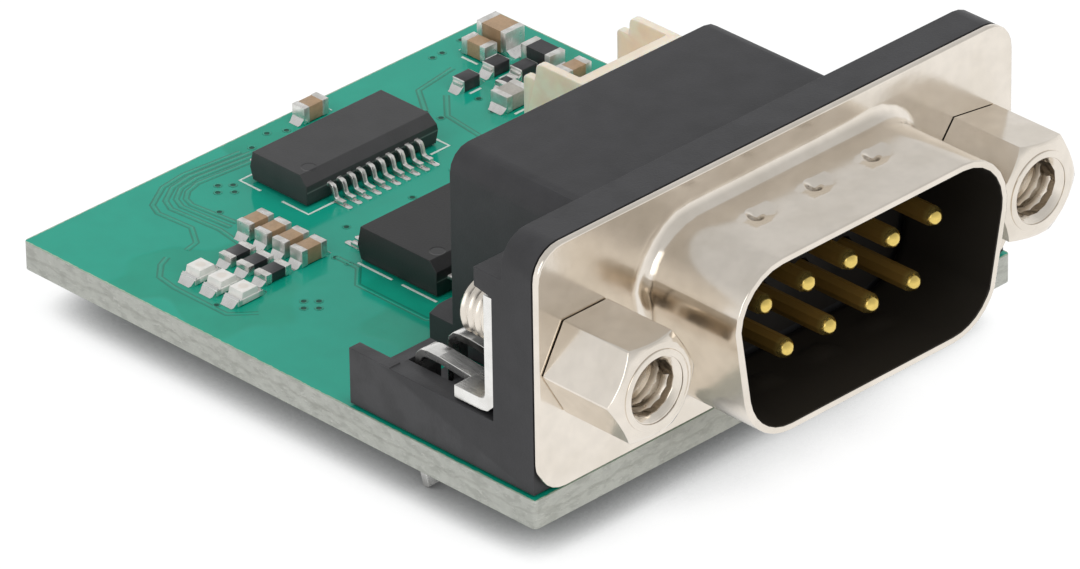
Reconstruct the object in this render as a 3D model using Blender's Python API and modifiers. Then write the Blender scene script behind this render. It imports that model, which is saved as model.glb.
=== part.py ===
"""USB to serial adapter module: a circuit board with a right-angle nine-way D-sub connector.

Metres, +Z up. +X is to the right as seen from the connector's mouth, which faces -Y, and the board runs
back along +Y. Inside the script Y starts at the board's front edge and Z at its upper face; one empty
lifts and centres the finished module, so that it stands on the ground with its origin below its middle.
"""

import math

import bmesh
import bpy
from mathutils import Matrix, Vector

MM = 0.001

# How high seated pieces lie off each other, and what a piece has round it in its pocket or hole
SEAT_GAP = 0.1 * MM
SOLDER_GAP = 0.05 * MM
FIT_CLEARANCE = 0.1 * MM
HOLE_CLEARANCE = 0.2 * MM

# Circuit board: what it has beyond the connector's flange and behind the rear chip's leads
BOARD_THICKNESS = 1.5 * MM
BOARD_CORNER = 0.25 * MM
BOARD_SIDE_MARGIN = 0.195 * MM
BOARD_REAR_MARGIN = 2.5 * MM
STANDING_REACH = 2.1 * MM

# Contacts: five above four
PIN_DIAMETER = 1.0 * MM
PIN_PITCH = 2.77 * MM
ROW_SPACING = 2.84 * MM
PIN_RECESS = 1.13 * MM
TAIL_DIAMETER = 0.6 * MM
TAIL_BEND = 0.8 * MM
TAIL_INSET = 1.5 * MM
TAIL_SHORTFALL = 0.4 * MM
INSULATOR_SETBACK = 0.07 * MM

# Front shell, drawn from one sheet: a flange and a D-shaped tube round the contacts
SHEET = 0.38 * MM
CONTACT_SIDE_ROOM = 2.92 * MM
CONTACT_ROW_ROOM = 2.76 * MM
SHELL_CORNER = 2.6 * MM
SHELL_LEAN = math.radians(10)
SHELL_REACH = 5.88 * MM
SHELL_FILLET = 0.7 * MM
FLANGE_LIP = 1.015 * MM
FLANGE_END_ROOM = 0.168 * MM
FLANGE_CORNER = 1.6 * MM
FLANGE_LIFT = 0.15 * MM
FLANGE_OVERHANG = 0.17 * MM
DIMPLE_END_ROOM = 0.35 * MM
DIMPLE_WIDTH = 2.4 * MM
DIMPLE_LENGTH = 1.7 * MM
DIMPLE_DEPTH = 0.28 * MM
DIMPLE_SETBACK = 2.55 * MM

# Hex standoffs with a threaded shank
HEX_ACROSS = 4.75 * MM
HEX_LENGTH = 4.45 * MM
HEX_FACE_DIAMETER = 4.3 * MM
HEX_CHAMFER_ANGLE = math.radians(30)
HEX_GAP = 0.213 * MM
BORE_DIAMETER = 2.7 * MM
BORE_MOUTH = 3.3 * MM
BORE_DEPTH = 3.9 * MM
SHANK_DIAMETER = 2.84 * MM
SHANK_BEYOND = 3.5 * MM
THREAD_DEPTH = 0.17 * MM
RIGHT_HEX_TURN = math.radians(8)

# Connector housing: flange plate, hood and side brackets, moulded in one piece
PLATE_THICKNESS = 1.9 * MM
HOOD_WALL = 0.29 * MM
HOOD_ROOF = 2.295 * MM
HOOD_LENGTH = 10.0 * MM
HOOD_EDGE = 1.2 * MM
BRACKET_INSET = 0.02 * MM
BACKING_THICKNESS = 0.65 * MM
FOOT_HEIGHT = 2.85 * MM
FOOT_REAR_WALL = 0.72 * MM
ARCH_RECESS = 1.1 * MM
FENCE_THICKNESS = 0.7 * MM
FENCE_HEIGHT = 2.9 * MM
LEDGE_GAP = 0.2 * MM
LEDGE_HEIGHT = 1.08 * MM
LEDGE_THICKNESS = 1.1 * MM
NOTCH_PAST_JACK = 0.35 * MM
REAR_STEP_HEIGHT = 1.37 * MM
REAR_STEP_LENGTH = 1.84 * MM
REAR_STEP_CORNER = (0.9 * MM, 0.3 * MM)

# Board locks: one strap of bent sheet at each side, with two prongs through the board
STRAP_THICKNESS = 0.62 * MM
STRAP_WIDTH = 5.4 * MM
STRAP_CROWN = 1.2 * MM
STRAP_BEND = 0.35 * MM
STRAP_FOOT = 2.6 * MM
PRONG_WIDTH = 0.95 * MM
PRONG_PITCH = 2.05 * MM
PRONG_THICKNESS = 0.38 * MM
PRONG_REACH = 3.6 * MM
PRONG_RISE = 0.2 * MM

# Shrouded header, open to the rear
HEADER_PITCH = 1.25 * MM
HEADER_PIN = 0.45 * MM
HEADER_PINS = 4
HEADER_PIN_RISE = 1.9 * MM
HEADER_END_ROOM = 0.825 * MM
HEADER_DEPTH = 4.0 * MM
HEADER_HEIGHT = 3.75 * MM
HEADER_WALL = 0.45 * MM
HEADER_FRONT_WALL = 0.62 * MM
HEADER_BASE = 1.1 * MM
HEADER_STEP_LENGTH = 0.85 * MM
HEADER_STEP_DEPTH = 0.6 * MM
HEADER_ROUND = 0.35 * MM
HEADER_SIDE_MARGIN = 0.5 * MM
HEADER_AHEAD = 3.65 * MM

# Gull-wing chips
LEAD_THICKNESS = 0.2 * MM
LEAD_FOOT = 0.6 * MM
LEAD_ROOT = 0.3 * MM
LEAD_BEND = 0.22 * MM
LEAD_SLOPE = 0.15 * MM
CHIP_STANDOFF = 0.1 * MM
CHIP_DRAFT = math.radians(7)
CHIP_CHAMFER = 0.45 * MM
TRANSCEIVER_GAP = 2.69 * MM
TRANSCEIVER_SHIFT = -0.95 * MM
TRANSCEIVER_WIDTH = 5.3 * MM
TRANSCEIVER_HEIGHT = 1.75 * MM
TRANSCEIVER_LEAD_REACH = 1.25 * MM
TRANSCEIVER_PITCH = 0.65 * MM
TRANSCEIVER_LEAD_WIDTH = 0.3 * MM
TRANSCEIVER_LEADS = 14
TRANSCEIVER_END = 0.725 * MM
CHIP_GAP = 2.95 * MM
INTERFACE_WIDTH = 3.9 * MM
INTERFACE_HEIGHT = 1.5 * MM
INTERFACE_LEAD_REACH = 1.05 * MM
INTERFACE_PITCH = 0.635 * MM
INTERFACE_LEAD_WIDTH = 0.25 * MM
INTERFACE_LEADS = 10
INTERFACE_END = 1.34 * MM

# Small surface-mount parts: rows beside the rear chip, ahead of its middle
CHIP_PART_LENGTH = 1.6 * MM
CHIP_PART_WIDTH = 0.8 * MM
CAPACITOR_HEIGHT = 0.8 * MM
RESISTOR_HEIGHT = 0.45 * MM
TERMINAL_LENGTH = 0.35 * MM
TERMINAL_SWELL = 0.02 * MM
ROW_GAP = 0.4 * MM
COLUMN_GAP = 0.7 * MM
CAPACITOR_CHIP_GAP = 2.42 * MM
CAPACITOR_AHEAD = 1.85 * MM
RESISTOR_AHEAD = 3.05 * MM
LED_AHEAD = 3.0 * MM
LED_WIDTH = 1.0 * MM
LED_GAP = 0.45 * MM
LED_BASE_HEIGHT = 0.28 * MM
LED_LENS_HEIGHT = 0.34 * MM
LED_LENS_LENGTH = 1.1 * MM
LED_LENS_INSET = 0.04 * MM
EDGE_CAPACITOR_X = 2.0 * MM
EDGE_CAPACITOR_MARGIN = 0.65 * MM

# Group behind the header: from the board's right edge, and behind the rear chip's middle
BULK_LENGTH = 2.0 * MM
BULK_WIDTH = 1.25 * MM
BULK_HEIGHT = 1.2 * MM
BULK_PLACE = (2.3 * MM, 2.95 * MM)
REAR_CAPACITOR_PLACE = (3.75 * MM, 2.95 * MM)
RIGHT_CAPACITOR_PLACE = (2.3 * MM, -2.05 * MM)
DIODE_LENGTH = 1.25 * MM
DIODE_CAP = 0.15 * MM
DIODE_CAP_INSET = 0.08 * MM
DIODE_WIDTH = 0.8 * MM
DIODE_HEIGHT = 0.6 * MM
DIODE_PLACES = ((4.3 * MM, 1.25 * MM), (6.35 * MM, 1.2 * MM), (3.65 * MM, 0.0))
BEAD_LENGTH = 2.0 * MM
BEAD_WIDTH = 1.0 * MM
BEAD_HEIGHT = 0.85 * MM
BEAD_PLACE = (2.15 * MM, 0.2 * MM)
TINY_LENGTH = 1.0 * MM
TINY_WIDTH = 0.55 * MM
TINY_HEIGHT = 0.35 * MM
TINY_CAP = 0.25 * MM
REAR_RESISTOR_PLACE = (5.0 * MM, -0.2 * MM)
INDUCTOR_LENGTH = 1.6 * MM
INDUCTOR_WIDTH = 1.1 * MM
INDUCTOR_HEIGHT = 0.8 * MM
INDUCTOR_PLACE = (6.1 * MM, -1.6 * MM)

# How deep a dimple is across its width and from its rear to its front, as shares of its depth
DIMPLE_ACROSS = (0.0, 0.5, 1.0, 0.5, 0.0)
DIMPLE_ROWS = ((0.0, 0.0), (0.22, 0.55), (0.42, 1.0), (0.7, 0.5), (1.0, 0.0))

# Facets
CORNER_STEPS = 6
SHELL_STEPS = 7
FILLET_STEPS = 4
HOLE_SIDES = 12
TURN_SIDES = 24

# Connector, from the contacts outwards
SHELL_HALF_WIDTH = 2 * PIN_PITCH + CONTACT_SIDE_ROOM + SHEET
SHELL_HALF_HEIGHT = ROW_SPACING / 2 + CONTACT_ROW_ROOM + SHEET
SHELL_RADIUS = SHELL_CORNER + SHEET
SHELL_UPPER_FLAT = SHELL_HALF_WIDTH - SHELL_RADIUS
SHELL_LOWER_FLAT = SHELL_UPPER_FLAT - 2 * (SHELL_HALF_HEIGHT - SHELL_RADIUS) * math.tan(SHELL_LEAN)
DIMPLE_PITCH = SHELL_LOWER_FLAT - DIMPLE_END_ROOM - DIMPLE_WIDTH / 2
HEX_CORNER = HEX_ACROSS / math.sqrt(3)
JACK_X = SHELL_HALF_WIDTH + SHELL_FILLET + HEX_GAP + HEX_CORNER
JACK_HOLE = SHANK_DIAMETER + 2 * FIT_CLEARANCE
FLANGE_HALF_WIDTH = JACK_X + HEX_CORNER + FLANGE_END_ROOM
FLANGE_MIDDLE = FLANGE_LIFT + FLANGE_LIP + SHELL_FILLET + SHELL_HALF_HEIGHT
FLANGE_TOP = 2 * FLANGE_MIDDLE - FLANGE_LIFT
FLANGE_FRONT = -FLANGE_OVERHANG
FLANGE_REAR = FLANGE_FRONT + SHEET
SHELL_RIM = FLANGE_FRONT - SHELL_REACH
PLATE_FRONT = FLANGE_REAR + FIT_CLEARANCE / 2
PLATE_REAR = PLATE_FRONT + PLATE_THICKNESS
SLOT_WIDTH = TAIL_DIAMETER + 2 * HOLE_CLEARANCE - SOLDER_GAP
HOOD_HALF_WIDTH = SHELL_HALF_WIDTH - SHEET + FIT_CLEARANCE + HOOD_WALL
HOOD_TOP = FLANGE_MIDDLE + (ROW_SPACING + SLOT_WIDTH) / 2 + HOOD_ROOF
HOOD_REAR = PLATE_REAR + HOOD_LENGTH
REAR_TAIL_Y = HOOD_REAR - TAIL_INSET
FRONT_TAIL_Y = REAR_TAIL_Y - ROW_SPACING
HOUSING_SIDE = FLANGE_HALF_WIDTH - BRACKET_INSET
BACKING_REAR = PLATE_REAR + BACKING_THICKNESS
FOOT_TOP = SEAT_GAP + FOOT_HEIGHT

# Board locks, seated on the housing's feet
STRAP_MIDDLE_Y = BACKING_REAR + SEAT_GAP + STRAP_THICKNESS / 2
STRAP_FOOT_Z = FOOT_TOP + SEAT_GAP + STRAP_THICKNESS / 2
STRAP_TOP = FLANGE_MIDDLE + JACK_HOLE / 2 + STRAP_CROWN
STRAP_FOOT_END = BACKING_REAR + SEAT_GAP + STRAP_FOOT
LEG_Y = STRAP_FOOT_END + PRONG_REACH
LOCK_SPAN = PRONG_PITCH + PRONG_WIDTH
LOCK_HOLE = math.hypot(LOCK_SPAN, PRONG_THICKNESS) + 2 * HOLE_CLEARANCE
SLOT_REAR = LEG_Y + PRONG_THICKNESS / 2 + HOLE_CLEARANCE
FOOT_REAR = SLOT_REAR + FOOT_REAR_WALL

# Board and the chips behind the hood
TRANSCEIVER_HALF_SPAN = TRANSCEIVER_WIDTH / 2 + TRANSCEIVER_LEAD_REACH
TRANSCEIVER_Y = HOOD_REAR + TRANSCEIVER_GAP + TRANSCEIVER_HALF_SPAN
TRANSCEIVER_LEAD_SPAN = (TRANSCEIVER_LEADS - 1) * TRANSCEIVER_PITCH + TRANSCEIVER_LEAD_WIDTH
TRANSCEIVER_LENGTH = TRANSCEIVER_LEAD_SPAN + 2 * TRANSCEIVER_END
INTERFACE_HALF_SPAN = INTERFACE_WIDTH / 2 + INTERFACE_LEAD_REACH
INTERFACE_Y = TRANSCEIVER_Y + TRANSCEIVER_HALF_SPAN + CHIP_GAP + INTERFACE_HALF_SPAN
INTERFACE_LENGTH = (INTERFACE_LEADS - 1) * INTERFACE_PITCH + INTERFACE_LEAD_WIDTH + 2 * INTERFACE_END
BOARD_LENGTH = INTERFACE_Y + INTERFACE_HALF_SPAN + BOARD_REAR_MARGIN
BOARD_RIGHT = FLANGE_HALF_WIDTH + BOARD_SIDE_MARGIN
BOARD_UNDERSIDE = -BOARD_THICKNESS
GROUND = BOARD_UNDERSIDE - STANDING_REACH
TAIL_END = GROUND + TAIL_SHORTFALL

# Header, near the right edge, and the columns of small parts left of the rear chip
HEADER_LENGTH = (HEADER_PINS - 1) * HEADER_PITCH + HEADER_PIN + 2 * (HEADER_END_ROOM + HEADER_WALL)
HEADER_RIGHT = BOARD_RIGHT - HEADER_SIDE_MARGIN
HEADER_LEFT = HEADER_RIGHT - HEADER_LENGTH
HEADER_X = HEADER_RIGHT - HEADER_LENGTH / 2
HEADER_REAR = INTERFACE_Y - HEADER_AHEAD
HEADER_FRONT = HEADER_REAR - HEADER_DEPTH
HEADER_PIN_Y = HEADER_FRONT + HEADER_FRONT_WALL + (HEADER_DEPTH - HEADER_FRONT_WALL) / 2
CAPACITOR_X = -(INTERFACE_LENGTH + CHIP_PART_LENGTH) / 2 - CAPACITOR_CHIP_GAP
RESISTOR_X = CAPACITOR_X - CHIP_PART_LENGTH - COLUMN_GAP
LED_X = RESISTOR_X - CHIP_PART_LENGTH - COLUMN_GAP
ROW_PITCH = CHIP_PART_WIDTH + ROW_GAP
LED_PITCH = LED_WIDTH + LED_GAP

# Colours in linear light, then roughness and metallic
FINISHES = {
    "solder_mask": ((0.055, 0.42, 0.31), 0.38, 0.0),
    "black_moulding": ((0.075, 0.076, 0.08), 0.55, 0.0),
    "nickel_plate": ((0.71, 0.66, 0.60), 0.28, 1.0),
    "inner_moulding": ((0.012, 0.010, 0.008), 0.5, 0.0),
    "gold_plate": ((0.80, 0.56, 0.20), 0.25, 1.0),
    "bright_tin": ((0.78, 0.78, 0.76), 0.3, 1.0),
    "cream_nylon": ((0.70, 0.62, 0.48), 0.5, 0.0),
    "chip_epoxy": ((0.030, 0.030, 0.032), 0.45, 0.0),
    "ceramic_tan": ((0.42, 0.28, 0.17), 0.4, 0.0),
    "resistor_black": ((0.02, 0.02, 0.022), 0.35, 0.0),
    "led_white": ((0.80, 0.78, 0.74), 0.35, 0.0),
    "inductor_grey": ((0.48, 0.47, 0.44), 0.45, 0.0),
}

MATERIALS = {}


def make_materials():
    for name, (colour, roughness, metallic) in FINISHES.items():
        material = bpy.data.materials.new(name)
        material.use_nodes = True
        shader = material.node_tree.nodes["Principled BSDF"]
        shader.inputs["Base Color"].default_value = (*colour, 1.0)
        shader.inputs["Roughness"].default_value = roughness
        shader.inputs["Metallic"].default_value = metallic
        MATERIALS[name] = material


def make_collection(name):
    collection = bpy.data.collections.new(name)
    bpy.context.scene.collection.children.link(collection)
    return collection


def arc(centre, radius, start, end, steps):
    """Points on an arc, both ends included; angles in radians."""
    points = []
    for step in range(steps + 1):
        angle = start + (end - start) * step / steps
        points.append((centre[0] + radius * math.cos(angle), centre[1] + radius * math.sin(angle)))
    return points


def circle(centre, diameter, sides=HOLE_SIDES):
    return arc(centre, diameter / 2, 0.0, 2 * math.pi, sides)[:-1]


def rounded(corners, radii, steps=CORNER_STEPS):
    """A polygon whose corners are rounded by their own radii; a radius of 0 keeps a sharp corner."""
    points = []
    count = len(corners)
    for index in range(count):
        corner = Vector(corners[index])
        radius = radii[index]
        if radius <= 0:
            points.append(tuple(corner))
            continue
        before = (Vector(corners[index - 1]) - corner).normalized()
        after = (Vector(corners[(index + 1) % count]) - corner).normalized()
        half = before.angle(after) / 2
        centre = corner + (before + after).normalized() * radius / math.sin(half)
        first = corner + before * radius / math.tan(half) - centre
        last = corner + after * radius / math.tan(half) - centre
        turn = first.angle_signed(last)
        for step in range(steps + 1):
            spun = first.copy()
            spun.rotate(Matrix.Rotation(-turn * step / steps, 2))
            points.append(tuple(centre + spun))
    return points


def rectangle(low, high, radii=(0, 0, 0, 0), steps=CORNER_STEPS):
    """Corners from the lower left, anticlockwise."""
    corners = [(low[0], low[1]), (high[0], low[1]), (high[0], high[1]), (low[0], high[1])]
    return rounded(corners, radii, steps)


def d_section(offset, steps=SHELL_STEPS, straight_marks=()):
    """The D outline of the shell's outer surface, moved outwards by offset, clockwise from the top left.

    straight_marks are the places on the top and bottom sides that get a point of their own.
    """
    upper = SHELL_UPPER_FLAT
    lower = SHELL_LOWER_FLAT
    level = SHELL_HALF_HEIGHT - SHELL_RADIUS
    edge = SHELL_HALF_HEIGHT + offset
    reach = SHELL_RADIUS + offset
    right = math.pi / 2
    points = []
    points += [(mark, edge) for mark in sorted(straight_marks)]
    points += arc((upper, level), reach, right, -SHELL_LEAN, steps)
    points += arc((lower, -level), reach, -SHELL_LEAN, -right, steps)[1:]
    points += [(mark, -edge) for mark in sorted(straight_marks, reverse=True)]
    points += arc((-lower, -level), reach, -right, -math.pi + SHELL_LEAN, steps)
    points += arc((-upper, level), reach, -math.pi + SHELL_LEAN, -math.pi - right, steps)[1:]
    return [(x, z + FLANGE_MIDDLE) for x, z in points]


def softened(path, radius, steps=3):
    """An open path whose inner corners are bent to a radius."""
    points = [path[0]]
    for index in range(1, len(path) - 1):
        corner = Vector(path[index])
        before = Vector(path[index - 1]) - corner
        after = Vector(path[index + 1]) - corner
        half = before.angle(after) / 2
        setback = min(radius / math.tan(half), before.length / 2.05, after.length / 2.05)
        first = corner + before.normalized() * setback
        last = corner + after.normalized() * setback
        for step in range(steps + 1):
            share = step / steps
            near = first.lerp(corner, share)
            far = corner.lerp(last, share)
            points.append(tuple(near.lerp(far, share)))
    points.append(path[-1])
    return points


def strip_outline(path, thickness):
    """The outline of a bent strip of constant thickness whose middle line is the path."""
    left = []
    right = []
    for index, point in enumerate(path):
        here = Vector(point)
        before = here - Vector(path[index - 1]) if index else None
        after = Vector(path[index + 1]) - here if index < len(path) - 1 else None
        if before is None:
            before = after
        if after is None:
            after = before
        before = before.normalized()
        after = after.normalized()
        along = (before + after).normalized()
        across = Vector((-along.y, along.x))
        reach = thickness / 2 / max(0.5, across.dot(Vector((-before.y, before.x))))
        left.append(tuple(here + across * reach))
        right.append(tuple(here - across * reach))
    return left + right[::-1]


def settle(mesh):
    """Rounds the corners to a ten-thousandth of a millimetre, so that flush faces share one plane."""
    for vert in mesh.vertices:
        vert.co = [round(value, 7) for value in vert.co]
    return mesh


def place_mesh(name, mesh, collection, finish):
    thing = bpy.data.objects.new(name, mesh)
    collection.objects.link(thing)
    if finish:
        mesh.materials.clear()
        mesh.materials.append(MATERIALS[finish])
    return thing


def outline_mesh(name, outlines, start, end, plane):
    """A prism of an outer outline and its holes, drawn as a filled 2D curve and extruded.

    plane XY is extruded along Z, XZ along Y and YZ along X, from start to end.
    """
    curve = bpy.data.curves.new(name + "_outline", "CURVE")
    curve.dimensions = "2D"
    curve.fill_mode = "BOTH"
    curve.extrude = (end - start) / 2
    for outline in outlines:
        spline = curve.splines.new("POLY")
        spline.points.add(len(outline) - 1)
        for point, (u, v) in zip(spline.points, outline):
            point.co = (u, v, 0.0, 1.0)
        spline.use_cyclic_u = True
    drawn = bpy.data.objects.new(name + "_outline", curve)
    bpy.context.scene.collection.objects.link(drawn)
    graph = bpy.context.evaluated_depsgraph_get()
    mesh = bpy.data.meshes.new_from_object(drawn.evaluated_get(graph))
    bpy.data.objects.remove(drawn)
    bpy.data.curves.remove(curve)
    mesh.name = name
    middle = (start + end) / 2
    if plane == "XY":
        move = Matrix.Translation((0, 0, middle))
    elif plane == "XZ":
        move = Matrix.Translation((0, middle, 0)) @ Matrix.Rotation(math.pi / 2, 4, "X")
    else:
        move = Matrix.Translation((middle, 0, 0)) @ Matrix(((0, 0, 1), (1, 0, 0), (0, 1, 0))).to_4x4()
    bm = bmesh.new()
    bm.from_mesh(mesh)
    bmesh.ops.transform(bm, matrix=move, verts=bm.verts)
    bmesh.ops.remove_doubles(bm, verts=bm.verts, dist=1e-7)
    bmesh.ops.recalc_face_normals(bm, faces=bm.faces)
    bm.to_mesh(mesh)
    bm.free()
    return settle(mesh)


def box_mesh(name, low, high):
    bm = bmesh.new()
    bmesh.ops.create_cube(bm, size=1.0)
    size = Vector(high) - Vector(low)
    middle = (Vector(high) + Vector(low)) / 2
    bmesh.ops.scale(bm, vec=size, verts=bm.verts)
    bmesh.ops.translate(bm, vec=middle, verts=bm.verts)
    mesh = bpy.data.meshes.new(name)
    bm.to_mesh(mesh)
    bm.free()
    return settle(mesh)


def cylinder_mesh(name, centres, diameter, start, end, sides=HOLE_SIDES):
    """Round bars along Y from start to end, one at each (x, z) centre."""
    bm = bmesh.new()
    for x, z in centres:
        move = Matrix.Translation((x, (start + end) / 2, z)) @ Matrix.Rotation(math.pi / 2, 4, "X")
        bmesh.ops.create_cone(
            bm,
            cap_ends=True,
            segments=sides,
            radius1=diameter / 2,
            radius2=diameter / 2,
            depth=end - start,
            matrix=move,
        )
    mesh = bpy.data.meshes.new(name)
    bm.to_mesh(mesh)
    bm.free()
    return settle(mesh)


def turned_mesh(name, profile, sides=TURN_SIDES):
    """A closed turned shape about Y: profile points are (radius, y), from the rear end to the front end."""
    mesh = bpy.data.meshes.new(name)
    points = [(radius, 0.0, -y) for radius, y in profile]
    mesh.from_pydata(points, [(i, i + 1) for i in range(len(points) - 1)], [])
    line = bpy.data.objects.new(name + "_profile", mesh)
    bpy.context.scene.collection.objects.link(line)
    screw = line.modifiers.new("turn", "SCREW")
    screw.steps = sides
    screw.render_steps = sides
    screw.use_merge_vertices = True
    screw.merge_threshold = 1e-6
    graph = bpy.context.evaluated_depsgraph_get()
    result = bpy.data.meshes.new_from_object(line.evaluated_get(graph))
    bpy.data.objects.remove(line)
    bm = bmesh.new()
    bm.from_mesh(result)
    bmesh.ops.remove_doubles(bm, verts=bm.verts, dist=1e-7)
    bmesh.ops.dissolve_degenerate(bm, dist=1e-7, edges=bm.edges)
    bmesh.ops.rotate(bm, cent=(0, 0, 0), matrix=Matrix.Rotation(math.pi / 2, 3, "X"), verts=bm.verts)
    bmesh.ops.recalc_face_normals(bm, faces=bm.faces)
    bm.to_mesh(result)
    bm.free()
    result.name = name
    return result


def smooth(thing, angle=40):
    thing.data.shade_smooth()
    thing.data.set_sharp_from_angle(angle=math.radians(angle))


class Workshop:
    """The module's collection and the collection of its cutters."""

    def __init__(self):
        self.parts = make_collection("usb_serial_adapter")
        self.cutters = make_collection("cutters")

    def part(self, name, mesh, finish):
        return place_mesh(name, mesh, self.parts, finish)

    def tool(self, mesh):
        guide = place_mesh(mesh.name, mesh, self.cutters, None)
        guide.hide_render = True
        guide.display_type = "WIRE"
        return guide

    def combine(self, target, mesh, operation):
        guide = self.tool(mesh)
        modifier = target.modifiers.new(mesh.name, "BOOLEAN")
        modifier.object = guide
        modifier.operation = operation
        modifier.solver = "EXACT"

    def add(self, target, mesh):
        self.combine(target, mesh, "UNION")

    def cut(self, target, mesh):
        self.combine(target, mesh, "DIFFERENCE")

    def weld_seams(self):
        """Joins the points that the cuts and unions leave within a micrometre of each other."""
        for piece in self.parts.objects:
            if any(modifier.type == "BOOLEAN" for modifier in piece.modifiers):
                weld = piece.modifiers.new("seams", "WELD")
                weld.merge_threshold = 1e-6


def contact_places():
    """Each contact's name, x, height and tail row, the upper row first, from left to right."""
    places = []
    upper = FLANGE_MIDDLE + ROW_SPACING / 2
    lower = FLANGE_MIDDLE - ROW_SPACING / 2
    for index in range(5):
        places.append((index + 1, (index - 2) * PIN_PITCH, upper, REAR_TAIL_Y))
    for index in range(4):
        places.append((index + 6, (index - 1.5) * PIN_PITCH, lower, FRONT_TAIL_Y))
    return places


def header_pin_places():
    first = HEADER_X - HEADER_PITCH * (HEADER_PINS - 1) / 2
    return [first + index * HEADER_PITCH for index in range(HEADER_PINS)]


def make_board(shop):
    radii = (BOARD_CORNER,) * 4
    outlines = [rectangle((-BOARD_RIGHT, 0), (BOARD_RIGHT, BOARD_LENGTH), radii)]
    for _, x, _, tail_y in contact_places():
        outlines.append(circle((x, tail_y), TAIL_DIAMETER + 2 * HOLE_CLEARANCE))
    for side in (-1, 1):
        outlines.append(circle((side * JACK_X, LEG_Y), LOCK_HOLE, 16))
    for x in header_pin_places():
        outlines.append(circle((x, HEADER_PIN_Y), HEADER_PIN * math.sqrt(2) + HOLE_CLEARANCE))
    mesh = outline_mesh("circuit_board", outlines, BOARD_UNDERSIDE, 0.0, "XY")
    return shop.part("circuit_board", mesh, "solder_mask")


def make_front_shell(shop):
    """Flange and shell as one drawn sheet: an open surface, thickened inwards and backwards."""
    marks = []
    depths = []
    for place in (-1, 0, 1):
        for step, depth in enumerate(DIMPLE_ACROSS):
            across = step / (len(DIMPLE_ACROSS) - 1) - 0.5
            marks.append(place * DIMPLE_PITCH + across * DIMPLE_WIDTH)
            depths.append(depth * DIMPLE_DEPTH)
    flange = rectangle(
        (-FLANGE_HALF_WIDTH, FLANGE_LIFT),
        (FLANGE_HALF_WIDTH, FLANGE_TOP),
        (FLANGE_CORNER,) * 4,
    )
    ring = d_section(SHELL_FILLET, straight_marks=marks)
    jacks = [circle((side * JACK_X, FLANGE_MIDDLE), JACK_HOLE, 14) for side in (-1, 1)]
    mesh = outline_mesh("front_shell", [flange, ring, *jacks], 0.0, 0.0, "XZ")

    stations = []
    for step in range(1, FILLET_STEPS + 1):
        angle = math.pi / 2 * step / FILLET_STEPS
        inward = SHELL_FILLET * (1 - math.sin(angle))
        forward = SHELL_FILLET * (1 - math.cos(angle))
        stations.append((inward, forward, 0.0))
    dimple_rear = max(SHELL_REACH - DIMPLE_SETBACK - DIMPLE_LENGTH, SHELL_FILLET * 1.2)
    for along, depth in DIMPLE_ROWS:
        stations.append((0.0, dimple_rear + along * DIMPLE_LENGTH, depth))
    stations.append((0.0, SHELL_REACH, 0.0))

    bm = bmesh.new()
    bm.from_mesh(mesh)
    inside = [e for e in bm.edges if len(e.link_faces) == 2]
    bmesh.ops.beautify_fill(bm, faces=bm.faces, edges=inside)
    index_of = {}
    for index, (x, z) in enumerate(ring):
        nearest = min(bm.verts, key=lambda v: (v.co.x - x) ** 2 + (v.co.z - z) ** 2)
        index_of[nearest] = index
    edges = [e for e in bm.edges if e.is_boundary and e.verts[0] in index_of and e.verts[1] in index_of]
    bottom = len(marks) + 2 * SHELL_STEPS + 1
    for offset, forward, depth in stations:
        outline = d_section(offset, straight_marks=marks)
        spun = bmesh.ops.extrude_edge_only(bm, edges=edges)["geom"]
        edges = [e for e in spun if isinstance(e, bmesh.types.BMEdge)]
        fresh = [v for v in spun if isinstance(v, bmesh.types.BMVert)]
        old = list(index_of)
        moved = {}
        for vert in fresh:
            source = min(old, key=lambda v: (v.co - vert.co).length_squared)
            moved[vert] = index_of[source]
        for vert, index in moved.items():
            x, z = outline[index]
            if index < len(marks):
                z -= depth * depths[index]
            elif bottom <= index < bottom + len(marks):
                z += depth * depths[index - bottom]
            vert.co = (x, -forward, z)
        index_of = moved
    bmesh.ops.recalc_face_normals(bm, faces=bm.faces)
    front = max(bm.faces, key=lambda f: f.calc_area())
    if front.normal.y > 0:
        bmesh.ops.reverse_faces(bm, faces=bm.faces)
    bm.to_mesh(mesh)
    bm.free()
    shell = shop.part("front_shell", mesh, "nickel_plate")
    shell.location.y = FLANGE_FRONT
    thicken = shell.modifiers.new("sheet", "SOLIDIFY")
    thicken.thickness = SHEET
    thicken.offset = -1.0
    thicken.use_even_offset = True
    smooth(shell)
    return shell


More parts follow.
